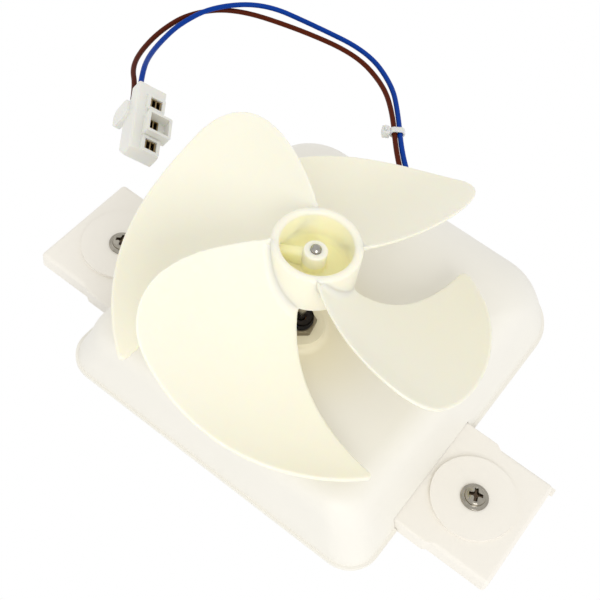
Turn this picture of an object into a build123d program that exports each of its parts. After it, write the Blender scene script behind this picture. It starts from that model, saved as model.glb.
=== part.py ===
from build123d import *
import math
import os

# Evaporator fan motor: a small shaded-pole motor under a white cap, on a strap with two screwed ears,
# with a four-blade fan on its shaft and two leads to a three-way connector.
# Millimetres. Z is the shaft, pointing to the fan. X runs along the strap. Z = 0 is the table.

# Clearances
RUNNING_FIT = 0.03
LOOSE_FIT = 0.25
END_PLAY = 0.3
AIR_GAP = 0.4

# Mounting bracket: a shallow moulded tray
STRAP_LENGTH = 189.6
STRAP_WIDTH = 43.4
STRAP_HEIGHT = 6.0
STRAP_WALL = 2.0
STRAP_EDGE_RADIUS = 1.5
SHOULDER_LENGTH = 142.8
SHOULDER_WIDTH = 45.4
SHOULDER_TAPER = 3.8
EAR_END_RADIUS = 1.6
EAR_SCREW_SPACING = 151.7
EAR_PAD_RADIUS = 14.7
EAR_PAD_RISE = 1.2
RIB_THICKNESS = 1.6
RIB_FROM_SCREW = 11.65
GATE_LENGTH = 1.0
GATE_WIDTH = 2.4
GATE_HEIGHT = 1.2

# Ear screws: pan head on a flange, with a cross recess
SCREW_FLANGE_RADIUS = 4.75
SCREW_FLANGE_HEIGHT = 0.8
SCREW_HEAD_RADIUS = 3.5
SCREW_HEAD_HEIGHT = 2.7
SCREW_NECK_RADIUS = 2.3
SCREW_THREAD_RADIUS = 1.95
RECESS_LENGTH = 4.2
RECESS_WIDTH = 1.1
RECESS_DEPTH = 1.5
RECESS_TURN = 25.0

# Motor cap: a pillow with steep near and side walls and a long slope at the far side
CAP_HALF_WIDTH = 61.4
CAP_NEAR_LENGTH = 44.9
CAP_FAR_LENGTH = 88.7
CAP_HEIGHT = 30.5
CAP_WALL = 1.8
CAP_SIDE_DRAFT = 18.5
CAP_NEAR_DRAFT = 2.0
CAP_EDGE_RADIUS = 7.0
CAP_FAR_SLOPE = 38.0
CAP_NEAR_CORNER = 10.5
CAP_FAR_CORNER = 19.8
CAP_TOP_CORNER = 8.0
CAP_LIP_WIDTH = 0.8
CAP_LIP_HEIGHT = 1.6
CAP_LOFT_STEPS = (0.0, 0.3, 0.56, 0.76, 0.9, 0.975, 1.0)
COLLAR_RADIUS = 8.4
COLLAR_RISE = 3.5
COLLAR_FILLET = 2.4
BOSS_RADIUS = 3.75
BOSS_SPACING = 92.0
BOSS_HOLE_DEPTH = 14.0

# Small screws under the bracket
SMALL_SCREW_RADIUS = 1.5
SMALL_HEAD_RADIUS = 3.0
SMALL_HEAD_HEIGHT = 2.2

# Motor stack
STACK_BOTTOM = 12.0
STACK_HEIGHT = 10.0
STACK_HALF_WIDTH = 25.0
STACK_NEAR = 18.0
STACK_FAR = 46.0
STACK_CORNER = 4.0
LEG_WIDTH = 12.0
WINDOW_HALF_WIDTH = 15.0
WINDOW_NEAR = 20.0
ROTOR_RADIUS = 10.9
BRIDGE_SLOT_WIDTH = 2.0
BRIDGE_WALL = 1.6
MOTOR_SCREW_SPACING = 41.0
FOOT_RADIUS = 4.6

# Shading rings: copper loops round the pole tips
SHADE_ANGLES = (24.0, 50.0, 204.0, 230.0)
SHADE_WIRE = 1.8
SHADE_INNER = 12.1
SHADE_OUTER = 17.2

# Coil
BOBBIN_WALL = 1.0
BOBBIN_FLANGE = 1.2
WINDING_BUILD = 4.6
TERMINAL_LEDGE = 5.0
LEDGE_GAP = 1.5
LEDGE_HEIGHT = 4.0
TERMINAL_SPACING = 9.0
TERMINAL_LENGTH = 6.0
TERMINAL_WIDTH = 1.2

# Rotor
SHAFT_RADIUS = 1.6
SHAFT_FOOT_GAP = 0.1
SHAFT_CHAMFER = 0.5
BAR_COUNT = 13
BAR_RADIUS = 1.0
BAR_CIRCLE = 9.2
END_RING_HEIGHT = 2.5
END_RING_INNER = 6.6
SPACER_RADIUS = 3.0
WASHER_RADIUS = 3.6
WASHER_HEIGHT = 0.4

# Bearings and their brackets
BEARING_RADIUS = 3.2
NECK_RADIUS = 4.2
NECK_RIM = 2.3
FELT_SEAT_RADIUS = 3.7
FELT_SEAT_DEPTH = 0.3
PLATE_HEIGHT = 2.7
PLATE_BOSS_RADIUS = 11.0
REAR_PLATE_HEIGHT = 2.2
REAR_HOUSING_RADIUS = 4.7
REAR_FLOOR = 0.8
REAR_FLOOR_BOTTOM = 0.6
THRUST_DISC_HEIGHT = 0.6
FELT_HEIGHT = 0.9
FELT_HOLE_RADIUS = 1.9
NUT_ACROSS_FLATS = 10.0
NUT_HEIGHT = 2.1
NUT_CHAMFER = 0.4
NUT_TURN = 42.0

# Fan
FAN_RADIUS = 59.4
BLADE_COUNT = 4
BLADE_THICKNESS = 2.0
BLADE_MIDDLE_ANGLE = 190.0
HUB_OVER_NECK = 23.5
HUB_RADIUS = 13.75
HUB_WALL = 2.7
HUB_HEIGHT = 15.3
HUB_CUP_DEPTH = 10.7
HUB_CUP_RADIUS = 1.8
HUB_FLOOR_THICKNESS = 2.0
HUB_BOSS_RADIUS = 3.7
HUB_BOSS_DROP = 3.4
HUB_BOSS_REACH = 1.4
SHAFT_TIP = 1.2
HUB_RIB_ANGLE = 199.0
HUB_RIB_WIDTH = 3.6
HUB_RIB_DROP = 4.5
HUB_RIB_STEP = 0.6

# Blade surface: a dished middle line, a slope that eases outwards, a camber and a curl
DISH_DROP = 10.1
DISH_DEPTH = 22.0
DISH_RADIUS = 43.0
ROOT_SLOPE = 0.65
SLOPE_FALL = 0.304
CAMBER_RADIUS = 68.0
CURL = 14.0

# Blade outline, in degrees from the middle line at the hub, with sweep towards the rim
HIGH_ROOT_ANGLE = -64.2
HIGH_SWEEP = 40.9
HIGH_SWEEP_BACK = -26.2
HIGH_CORNER_START = 0.32
HIGH_CORNER_TURN = 24.5
LOW_ROOT_ANGLE = 11.2
LOW_SWEEP = 52.3
LOW_SWEEP_BACK = -14.6
LOW_CORNER_RADIUS = 3.0

# Leads and what is on them
LEAD_DIAMETER = 2.2
GROMMET_X = -15.3
GROMMET_WIDTH = 9.0
GROMMET_HEIGHT = 5.2
GROMMET_FLANGE = 1.2
GROMMET_LIP = 1.5
GROMMET_Z = 2.6
LEAD_SPACING = 3.5
LEAD_STRAIGHT = 7.5
TIE_BAND_WIDTH = 2.5
TIE_BAND_THICKNESS = 0.9
TIE_CLEARANCE = 0.3
TIE_HEAD = 4.2

# Connector: a row of three mouths on a body that leans on its latch
PLUG_PLACE = (-107.3, 44.4, 2.1)
PLUG_TURN = -54.8
PLUG_TILT = 60.0
PLUG_START = -20.0
PLUG_END = 14.5
PLUG_TAPER = 4.5
PLUG_TAPER_DEPTH = 4.0
PLUG_DEPTH = 10.0
PLUG_RIGHT = -4.2
PLUG_LEFT = 8.0
PLUG_PITCH = 10.6
FRAME_SIDE = 7.8
FRAME_RISE = 1.2
TALL_SLEEVE_SIDE = 10.4
TALL_SLEEVE_RISE = 4.0
TALL_SLEEVE_SHIFT = 1.2
MOUTH_SIDE = 5.0
MOUTH_DEPTH = 6.0
TERMINAL_SIDE = 4.4
TERMINAL_WALL = 0.5
TERMINAL_RECESS = 0.6
LATCH_START = -13.5
LATCH_LENGTH = 9.0
LATCH_CORNER = 3.0
LATCH_THICKNESS = 2.6
LATCH_FOOT = 6.2
WIRE_ENTRY_SIDE = 6.2
BLUE_ENTRY_DEPTH = 7.5
BROWN_ENTRY_DEPTH = 2.5
BROWN_STEP_LENGTH = 6.5
BROWN_STEP_DEPTH = 4.6
BROWN_STEP_SIDE = 4.2

STACK_TOP = STACK_BOTTOM + STACK_HEIGHT
CEILING = CAP_HEIGHT - CAP_WALL
COLLAR_TOP = CAP_HEIGHT + COLLAR_RISE
NECK_TOP = COLLAR_TOP + NUT_HEIGHT + NECK_RIM
FELT_TOP = NECK_TOP - FELT_SEAT_DEPTH
FELT_BOTTOM = FELT_TOP - FELT_HEIGHT
HUB_BOTTOM = NECK_TOP + HUB_OVER_NECK
HUB_TOP = HUB_BOTTOM + HUB_HEIGHT
HUB_FLOOR = HUB_TOP - HUB_CUP_DEPTH
HUB_BOSS_TOP = HUB_TOP - HUB_BOSS_DROP
HUB_BOSS_BOTTOM = HUB_BOTTOM - HUB_BOSS_REACH
DISH_HEIGHT = HUB_BOTTOM - DISH_DROP
PLATE_BOTTOM = CEILING - PLATE_HEIGHT
REAR_PLATE_TOP = STRAP_HEIGHT + REAR_PLATE_HEIGHT
THRUST_TOP = REAR_FLOOR_BOTTOM + REAR_FLOOR + THRUST_DISC_HEIGHT
SHAFT_BOTTOM = THRUST_TOP + SHAFT_FOOT_GAP
SHAFT_TOP = HUB_BOSS_TOP + SHAFT_TIP
LEG_MIDDLE = STACK_FAR - LEG_WIDTH / 2
STACK_MIDDLE = STACK_BOTTOM + STACK_HEIGHT / 2
LEDGE_START = STACK_FAR + BOBBIN_WALL + WINDING_BUILD
PIN_START = LEDGE_START + LEDGE_GAP
PIN_END = LEDGE_START + TERMINAL_LEDGE + TERMINAL_LENGTH
BOBBIN_HALF = WINDOW_HALF_WIDTH - LOOSE_FIT
GROMMET_OUTER = CAP_FAR_LENGTH + CAP_LIP_WIDTH + GROMMET_LIP
GROMMET_INNER = CAP_FAR_LENGTH - CAP_WALL - GROMMET_LIP


def save(shape, node):
    export_step(shape, f"parts/{node}.step")


def disc(radius, bottom, top, x=0.0, y=0.0):
    """A round bar between two heights."""
    return Pos(x, y, bottom) * Cylinder(radius, top - bottom, align=(Align.CENTER, Align.CENTER, Align.MIN))


def ring(outer, inner, bottom, top, x=0.0, y=0.0):
    """A tube between two heights."""
    return disc(outer, bottom, top, x, y) - disc(inner, bottom - 1, top + 1, x, y)


def block(x0, x1, y0, y1, z0, z1):
    """A box between two corners."""
    centre = Pos((x0 + x1) / 2, (y0 + y1) / 2, (z0 + z1) / 2)
    return centre * Box(x1 - x0, y1 - y0, z1 - z0)


def pair(shape_at, spacing):
    """The same piece at the left and right of the shaft, as a group of two solids."""
    return Compound(children=[shape_at(-spacing / 2), shape_at(spacing / 2)])


def shoulder_block():
    """The strap's wider middle, running out into its width at both ends, with eased top edges."""
    wide, narrow = SHOULDER_WIDTH / 2, STRAP_WIDTH / 2 - STRAP_EDGE_RADIUS
    long, longer = SHOULDER_LENGTH / 2, SHOULDER_LENGTH / 2 + SHOULDER_TAPER
    quarter = [(long, wide), (longer, narrow), (longer, -narrow), (long, -wide)]
    outline = quarter + [(-x, -y) for x, y in quarter]
    shoulder = extrude(make_face(Polyline(*outline, close=True)), STRAP_HEIGHT)
    sides = shoulder.edges().filter_by(Axis.X).group_by(Axis.Z)[-1]
    return fillet(sides, STRAP_EDGE_RADIUS / 2)


def gate_stub():
    """What is left of the moulding gate, at one corner of the right ear."""
    x, y, z = STRAP_LENGTH / 2, STRAP_WIDTH / 2, STRAP_HEIGHT - EAR_END_RADIUS
    return block(x - GATE_LENGTH, x + GATE_LENGTH, y - GATE_WIDTH, y, z - GATE_HEIGHT, z)


def mounting_bracket():
    strap = block(-STRAP_LENGTH / 2, STRAP_LENGTH / 2, -STRAP_WIDTH / 2, STRAP_WIDTH / 2, 0, STRAP_HEIGHT)
    ends = strap.edges().filter_by(Axis.Y).group_by(Axis.Z)[-1]
    strap = fillet(ends, EAR_END_RADIUS)
    long_edges = strap.edges().filter_by(Axis.X).group_by(Axis.Z)[-1]
    strap = fillet(long_edges, STRAP_EDGE_RADIUS)
    tray = strap + shoulder_block()
    inside = block(
        -STRAP_LENGTH / 2 + STRAP_WALL,
        STRAP_LENGTH / 2 - STRAP_WALL,
        -STRAP_WIDTH / 2 + STRAP_WALL,
        STRAP_WIDTH / 2 - STRAP_WALL,
        -1,
        STRAP_HEIGHT - STRAP_WALL,
    )
    tray = tray - inside
    for side in (-1, 1):
        x = side * EAR_SCREW_SPACING / 2
        tray = tray + disc(EAR_PAD_RADIUS, STRAP_HEIGHT - 0.5, STRAP_HEIGHT + EAR_PAD_RISE, x)
        rib_x = side * (BOSS_SPACING / 2 + RIB_FROM_SCREW)
        rib = block(
            rib_x - RIB_THICKNESS / 2,
            rib_x + RIB_THICKNESS / 2,
            -STRAP_WIDTH / 2 + STRAP_WALL,
            STRAP_WIDTH / 2 - STRAP_WALL,
            SMALL_HEAD_HEIGHT,
            STRAP_HEIGHT - STRAP_WALL,
        )
        tray = tray + rib
    for side in (-1, 1):
        ear_hole = SCREW_NECK_RADIUS + LOOSE_FIT
        small_hole = SMALL_SCREW_RADIUS + LOOSE_FIT
        tray = tray - disc(ear_hole, -1, COLLAR_TOP, side * EAR_SCREW_SPACING / 2)
        tray = tray - disc(small_hole, -1, COLLAR_TOP, side * BOSS_SPACING / 2)
        tray = tray - disc(small_hole, -1, COLLAR_TOP, side * MOTOR_SCREW_SPACING / 2)
    return tray + gate_stub() - disc(REAR_HOUSING_RADIUS + LOOSE_FIT, -1, COLLAR_TOP)


def ear_screw(x):
    """A pan-head screw with a flange; its thread ends level with the bottom of the ear."""
    seat = STRAP_HEIGHT + EAR_PAD_RISE
    under = STRAP_HEIGHT - STRAP_WALL
    head_top = seat + SCREW_HEAD_HEIGHT
    flange = disc(SCREW_FLANGE_RADIUS, seat, seat + SCREW_FLANGE_HEIGHT)
    flange = fillet(flange.edges().group_by(Axis.Z)[-1], SCREW_FLANGE_HEIGHT / 2)
    head = disc(SCREW_HEAD_RADIUS, seat + SCREW_FLANGE_HEIGHT / 2, head_top)
    head = fillet(head.edges().group_by(Axis.Z)[-1], SCREW_HEAD_HEIGHT / 2)
    screw = flange + head + disc(SCREW_NECK_RADIUS, under, seat) + disc(SCREW_THREAD_RADIUS, 0, under)
    long, wide = RECESS_LENGTH / 2, RECESS_WIDTH / 2
    slot = block(-long, long, -wide, wide, head_top - RECESS_DEPTH, head_top + 1)
    for turn in (RECESS_TURN, RECESS_TURN + 90):
        screw = screw - Rot(0, 0, turn) * slot
    return Pos(x, 0, 0) * screw


def small_screw(x, length):
    """A pan-head screw up through the strap from below."""
    seat = STRAP_HEIGHT - STRAP_WALL
    head = disc(SMALL_HEAD_RADIUS, seat - SMALL_HEAD_HEIGHT, seat)
    head = fillet(head.edges().group_by(Axis.Z)[0], SMALL_HEAD_HEIGHT / 3)
    slot = block(-SMALL_HEAD_RADIUS, SMALL_HEAD_RADIUS, -0.5, 0.5, 0, seat - SMALL_HEAD_HEIGHT + 0.8)
    screw = head - slot + disc(SMALL_SCREW_RADIUS, seat, seat + length)
    return Pos(x, 0, 0) * screw


def cap_section(share, wall):
    """The cap's plan at a share of its height, drawn in by a wall thickness."""
    height = CAP_HEIGHT - wall
    z = share * height
    over = max(0.0, z - (height - CAP_EDGE_RADIUS))
    rounding = CAP_EDGE_RADIUS - math.sqrt(CAP_EDGE_RADIUS**2 - over**2)
    half = CAP_HALF_WIDTH - wall - z * math.tan(math.radians(CAP_SIDE_DRAFT)) - rounding
    near = CAP_NEAR_LENGTH - wall - z * math.tan(math.radians(CAP_NEAR_DRAFT)) - rounding
    slope = CAP_FAR_SLOPE * (1 - math.sqrt(1 - share**2))
    far = CAP_FAR_LENGTH - wall - slope
    near_corner = CAP_NEAR_CORNER - wall
    far_corner = CAP_FAR_CORNER - wall - (CAP_FAR_CORNER - CAP_TOP_CORNER) * slope / CAP_FAR_SLOPE
    plan = Pos(0, (far - near) / 2) * Rectangle(2 * half, far + near)
    plan = fillet(plan.vertices().group_by(Axis.Y)[0], near_corner)
    plan = fillet(plan.vertices().group_by(Axis.Y)[-1], far_corner)
    return Pos(0, 0, z) * plan


def cap_form(wall):
    return loft([cap_section(share, wall) for share in CAP_LOFT_STEPS])


def motor_cap():
    lip_plan = cap_section(0.0, -CAP_LIP_WIDTH)
    shell = cap_form(0.0) + extrude(lip_plan, CAP_LIP_HEIGHT)
    collar = disc(COLLAR_RADIUS, CEILING, COLLAR_TOP)
    shell = shell + collar
    foot = shell.edges().filter_by(GeomType.CIRCLE).filter_by(lambda e: abs(e.radius - COLLAR_RADIUS) < 0.01)
    shell = fillet(foot.group_by(Axis.Z)[0], COLLAR_FILLET)
    shell = shell - cap_form(CAP_WALL)
    for side in (-1, 1):
        x = side * BOSS_SPACING / 2
        boss = disc(BOSS_RADIUS, STRAP_HEIGHT, CEILING + CAP_WALL / 2, x)
        shell = shell + (boss & cap_form(0.0))
        shell = shell - disc(SMALL_SCREW_RADIUS, 0, STRAP_HEIGHT + BOSS_HOLE_DEPTH, x)
        notch_half = SHOULDER_WIDTH / 2 + LOOSE_FIT
        outer = side * (CAP_HALF_WIDTH + 2 * CAP_LIP_WIDTH)
        inner = side * (BOSS_SPACING / 2 + BOSS_RADIUS)
        x0, x1 = sorted((inner, outer))
        shell = shell - block(x0, x1, -notch_half, notch_half, -1, STRAP_HEIGHT + LOOSE_FIT)
    slot = block(
        GROMMET_X - GROMMET_WIDTH / 2 + GROMMET_FLANGE,
        GROMMET_X + GROMMET_WIDTH / 2 - GROMMET_FLANGE,
        CAP_FAR_LENGTH - 4 * CAP_WALL,
        CAP_FAR_LENGTH + 4 * CAP_WALL,
        -1,
        GROMMET_HEIGHT - GROMMET_FLANGE,
    )
    return shell - slot - disc(NECK_RADIUS + LOOSE_FIT, 0, COLLAR_TOP + 1)


def shading_ring(angle):
    """A square copper loop through a pole-tip notch and a hole behind it."""
    reach = SHADE_WIRE * 0.7
    outer = block(
        SHADE_INNER - SHADE_WIRE / 2,
        SHADE_OUTER + SHADE_WIRE / 2,
        -SHADE_WIRE / 2,
        SHADE_WIRE / 2,
        STACK_BOTTOM - reach,
        STACK_TOP + reach,
    )
    hole = block(
        SHADE_INNER + SHADE_WIRE / 2,
        SHADE_OUTER - SHADE_WIRE / 2,
        -SHADE_WIRE,
        SHADE_WIRE,
        STACK_BOTTOM,
        STACK_TOP,
    )
    return Rot(0, 0, angle) * (outer - hole)


def stator_core():
    length = STACK_FAR + STACK_NEAR
    plan = Pos(0, (STACK_FAR - STACK_NEAR) / 2) * Rectangle(2 * STACK_HALF_WIDTH, length)
    plan = fillet(plan.vertices(), STACK_CORNER)
    window_length = STACK_FAR - LEG_WIDTH - WINDOW_NEAR
    plan = plan - Pos(0, WINDOW_NEAR + window_length / 2) * Rectangle(2 * WINDOW_HALF_WIDTH, window_length)
    plan = plan - Circle(ROTOR_RADIUS + AIR_GAP)
    slot_near = STACK_NEAR - BRIDGE_WALL
    slot_far = WINDOW_NEAR - BRIDGE_WALL
    plan = plan - Pos(0, -slot_near / 2) * Rectangle(BRIDGE_SLOT_WIDTH, slot_near)
    plan = plan - Pos(0, slot_far / 2) * Rectangle(BRIDGE_SLOT_WIDTH, slot_far)
    for angle in SHADE_ANGLES:
        notch_length = SHADE_INNER + SHADE_WIRE / 2 - ROTOR_RADIUS
        notch = Pos(ROTOR_RADIUS + notch_length / 2, 0) * Rectangle(notch_length, SHADE_WIRE)
        hole = Pos(SHADE_OUTER, 0) * Rectangle(SHADE_WIRE, SHADE_WIRE)
        plan = plan - Rot(0, 0, angle) * notch - Rot(0, 0, angle) * hole
    for side in (-1, 1):
        plan = plan - Pos(side * MOTOR_SCREW_SPACING / 2, 0) * Circle(SMALL_SCREW_RADIUS + LOOSE_FIT)
    return Pos(0, 0, STACK_BOTTOM) * extrude(plan, STACK_HEIGHT)


def coil_bobbin():
    """A flanged former on the long leg of the stack, with a ledge for two pins."""
    tube_y = LEG_WIDTH / 2 + BOBBIN_WALL
    tube_z = STACK_HEIGHT / 2 + BOBBIN_WALL
    flange_y = tube_y + WINDING_BUILD
    flange_z = tube_z + WINDING_BUILD
    centre = Pos(0, LEG_MIDDLE, STACK_MIDDLE)
    former = Box(2 * BOBBIN_HALF, 2 * tube_y, 2 * tube_z)
    for side in (-1, 1):
        x = side * (BOBBIN_HALF - BOBBIN_FLANGE / 2)
        flange = Box(BOBBIN_FLANGE, 2 * flange_y, 2 * flange_z)
        former = former + Pos(x, 0, 0) * fillet(flange.edges().filter_by(Axis.X), 2)
    former = former - Box(3 * BOBBIN_HALF, LEG_WIDTH, STACK_HEIGHT)
    former = centre * former
    inside = BOBBIN_HALF - BOBBIN_FLANGE
    bottom, top = STACK_MIDDLE - LEDGE_HEIGHT / 2, STACK_MIDDLE + LEDGE_HEIGHT / 2
    ledge_end = LEDGE_START + TERMINAL_LEDGE
    ledge = block(-BOBBIN_HALF, BOBBIN_HALF, LEDGE_START - WINDING_BUILD / 2, ledge_end, bottom, top)
    ledge = ledge - block(-inside, inside, 0, PIN_START, bottom, top)
    former = former + ledge
    for side in (-1, 1):
        former = former - terminal_pin(side * TERMINAL_SPACING / 2)
    return former


def coil_winding():
    """The wound copper, rounded at its corners, between the bobbin's flanges."""
    tube_y = LEG_WIDTH / 2 + BOBBIN_WALL
    tube_z = STACK_HEIGHT / 2 + BOBBIN_WALL
    build = WINDING_BUILD - 0.3
    length = 2 * (BOBBIN_HALF - BOBBIN_FLANGE)
    wound = Box(length, 2 * (tube_y + build), 2 * (tube_z + build))
    wound = fillet(wound.edges().filter_by(Axis.X), build * 0.8)
    return Pos(0, LEG_MIDDLE, STACK_MIDDLE) * (wound - Box(2 * length, 2 * tube_y, 2 * tube_z))


def terminal_pin(x):
    """A square pin in the bobbin's ledge."""
    half = TERMINAL_WIDTH / 2
    return block(x - half, x + half, PIN_START, PIN_END, STACK_MIDDLE - half, STACK_MIDDLE + half)


def bracket_plan(boss_radius):
    """Two feet joined to a round middle."""
    plan = Circle(boss_radius)
    bar = Rectangle(MOTOR_SCREW_SPACING, 2 * FOOT_RADIUS)
    plan = plan + bar
    for side in (-1, 1):
        plan = plan + Pos(side * MOTOR_SCREW_SPACING / 2, 0) * Circle(FOOT_RADIUS)
    return plan


def front_bearing_bracket():
    """A die-cast bridge on the stack with a threaded neck through the cap."""
    plate = Pos(0, 0, PLATE_BOTTOM) * extrude(bracket_plan(PLATE_BOSS_RADIUS), PLATE_HEIGHT)
    bridge = plate + disc(NECK_RADIUS, PLATE_BOTTOM, NECK_TOP)
    for side in (-1, 1):
        x = side * MOTOR_SCREW_SPACING / 2
        bridge = bridge + disc(FOOT_RADIUS, STACK_TOP, PLATE_BOTTOM, x)
        bridge = bridge - disc(SMALL_SCREW_RADIUS, 0, CEILING + 1, x)
    bridge = bridge - disc(FELT_SEAT_RADIUS, FELT_BOTTOM, NECK_TOP + 1)
    return bridge - disc(BEARING_RADIUS, 0, NECK_TOP + 1)


def rear_bearing_bracket():
    """A die-cast bridge under the stack with a closed bearing cup through the strap."""
    plate = Pos(0, 0, STRAP_HEIGHT) * extrude(bracket_plan(PLATE_BOSS_RADIUS), REAR_PLATE_HEIGHT)
    bridge = plate + disc(REAR_HOUSING_RADIUS, REAR_FLOOR_BOTTOM, REAR_PLATE_TOP)
    for side in (-1, 1):
        x = side * MOTOR_SCREW_SPACING / 2
        bridge = bridge + disc(FOOT_RADIUS, REAR_PLATE_TOP, STACK_BOTTOM, x)
        bridge = bridge - disc(SMALL_SCREW_RADIUS + LOOSE_FIT, 0, STACK_BOTTOM + 1, x)
    return bridge - disc(BEARING_RADIUS, REAR_FLOOR_BOTTOM + REAR_FLOOR, REAR_PLATE_TOP + 1)


def neck_nut():
    """A hexagon nut, chamfered at its corners, on the threaded neck."""
    corner = NUT_ACROSS_FLATS / math.sqrt(3)
    hexagon = extrude(RegularPolygon(corner, 6, rotation=NUT_TURN), NUT_HEIGHT)
    hanging = (Align.CENTER, Align.CENTER, Align.MAX)
    cone = Cone(corner + NUT_HEIGHT, corner - NUT_CHAMFER, 2 * NUT_HEIGHT, align=hanging)
    nut = hexagon & (Pos(0, 0, NUT_HEIGHT) * cone)
    return Pos(0, 0, COLLAR_TOP) * (nut - Cylinder(NECK_RADIUS, 4 * NUT_HEIGHT))


def motor_shaft():
    rod = disc(SHAFT_RADIUS, SHAFT_BOTTOM, SHAFT_TOP)
    return chamfer(rod.edges(), SHAFT_CHAMFER)


def bar_places():
    return [Rot(0, 0, 360 * i / BAR_COUNT) * Pos(BAR_CIRCLE, 0) for i in range(BAR_COUNT)]


def rotor_core():
    plan = Circle(ROTOR_RADIUS) - Circle(SHAFT_RADIUS)
    for place in bar_places():
        plan = plan - place * Circle(BAR_RADIUS)
    return Pos(0, 0, STACK_BOTTOM) * extrude(plan, STACK_HEIGHT)


def rotor_cage():
    """Two cast end rings joined by bars through the core."""
    rim = BAR_CIRCLE + BAR_RADIUS + 0.3
    cage = ring(rim, END_RING_INNER, STACK_BOTTOM - END_RING_HEIGHT, STACK_BOTTOM)
    cage = cage + ring(rim, END_RING_INNER, STACK_TOP, STACK_TOP + END_RING_HEIGHT)
    for place in bar_places():
        cage = cage + Pos(0, 0, STACK_BOTTOM) * extrude(place * Circle(BAR_RADIUS), STACK_HEIGHT)
    return cage


def blade_height(x, y):
    """Height of the blade's upper face, x along its middle line and y across it."""
    middle = DISH_HEIGHT + DISH_DEPTH * (1 - x / DISH_RADIUS) ** 2
    slope = ROOT_SLOPE - SLOPE_FALL * (x / FAN_RADIUS) ** 2
    camber = y * y / (2 * CAMBER_RADIUS)
    curl = CURL * (1 - (x / FAN_RADIUS) ** 3) * (y / FAN_RADIUS) ** 3
    return middle - slope * y + camber - curl


def blade_section(x):
    """A strip of the blade's thickness across its middle line."""
    reach = FAN_RADIUS * 0.92
    across = [reach * i / 4 for i in range(-4, 5)]
    upper = [Vector(x, y, blade_height(x, y)) for y in across]
    lower = [point - Vector(0, 0, BLADE_THICKNESS) for point in upper]
    edges = [Spline(upper), Line(upper[-1], lower[-1]), Spline(lower), Line(lower[0], upper[0])]
    return Face(Wire(edges))


def outline_point(radius, angle):
    return Vector(radius * math.cos(math.radians(angle)), radius * math.sin(math.radians(angle)), 0)


def high_edge_angle(share):
    corner = max(0.0, share - HIGH_CORNER_START) / (1 - HIGH_CORNER_START)
    rounding = HIGH_CORNER_TURN * (1 - math.sqrt(1 - corner**2))
    return HIGH_ROOT_ANGLE + HIGH_SWEEP * share + HIGH_SWEEP_BACK * share**2 + rounding


def low_edge_angle(share):
    return LOW_ROOT_ANGLE + LOW_SWEEP * share + LOW_SWEEP_BACK * share**2


def blade_outline():
    """The blade in plan: a swept high edge with a round corner, the rim and a swept low edge."""
    root = HUB_RADIUS - HUB_WALL / 2
    span = FAN_RADIUS - HUB_RADIUS
    shares = [0.0, 0.2, 0.4, 0.6, 0.78, 0.9, 0.97, 1.0]
    high = [outline_point(HUB_RADIUS + span * s, high_edge_angle(s)) for s in shares]
    low = [outline_point(HUB_RADIUS + span * s, low_edge_angle(s)) for s in (1.0, 0.75, 0.5, 0.25, 0.0)]
    high_root = outline_point(root, HIGH_ROOT_ANGLE)
    low_root = outline_point(root, LOW_ROOT_ANGLE)
    middle_angle = (high_edge_angle(1.0) + low_edge_angle(1.0)) / 2
    rim = ThreePointArc(high[-1], outline_point(FAN_RADIUS, middle_angle), low[0])
    root_middle = outline_point(root, (HIGH_ROOT_ANGLE + LOW_ROOT_ANGLE) / 2)
    inner = ThreePointArc(low_root, root_middle, high_root)
    edges = [Line(high_root, high[0]), Spline(high), rim, Spline(low), Line(low[-1], low_root), inner]
    return Face(Wire(edges))


def fan_blade():
    stations = [0.06, 0.28, 0.52, 0.76, 1.03]
    slab = loft([blade_section(FAN_RADIUS * s) for s in stations])
    prism = extrude(blade_outline(), HUB_TOP * 2)
    low_corner = outline_point(FAN_RADIUS, low_edge_angle(1.0)) + Vector(0, 0, HUB_TOP)
    corner_edge = prism.edges().filter_by(Axis.Z).sort_by_distance(low_corner)[0]
    return slab & fillet(corner_edge, LOW_CORNER_RADIUS)


def fan_hub():
    """A cup with a boss for the shaft and one ramped rib."""
    cup = disc(HUB_RADIUS, HUB_BOTTOM, HUB_TOP)
    inner = HUB_RADIUS - HUB_WALL
    cup = cup - disc(inner, HUB_FLOOR, HUB_TOP + 1) - disc(inner, 0, HUB_FLOOR - HUB_FLOOR_THICKNESS)
    rim = cup.edges().group_by(Axis.Z)[-1]
    cup = fillet(rim, HUB_WALL * 0.42)
    foot = cup.edges().filter_by(lambda e: abs(e.center().Z - HUB_FLOOR) < 0.01)
    cup = fillet(foot, HUB_CUP_RADIUS)
    boss = disc(HUB_BOSS_RADIUS, HUB_BOSS_BOTTOM, HUB_BOSS_TOP)
    boss = fillet(boss.edges().group_by(Axis.Z)[-1], 0.5)
    bottom = HUB_FLOOR - HUB_FLOOR_THICKNESS / 2
    end = inner + HUB_WALL / 4
    ramp = Polyline(
        (0, bottom),
        (end, bottom),
        (end, HUB_BOSS_TOP - HUB_RIB_DROP),
        (0, HUB_BOSS_TOP - HUB_RIB_STEP),
        close=True,
    )
    rib = extrude(Plane.XZ * make_face(ramp), HUB_RIB_WIDTH / 2, both=True)
    hub = cup + boss + Rot(0, 0, HUB_RIB_ANGLE) * rib
    return hub - disc(SHAFT_RADIUS, 0, HUB_TOP + 1)


def fan_impeller():
    fan = fan_hub()
    blade = fan_blade()
    for i in range(BLADE_COUNT):
        fan = fan + Rot(0, 0, BLADE_MIDDLE_ANGLE + 360 * i / BLADE_COUNT) * blade
    return fan


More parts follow.
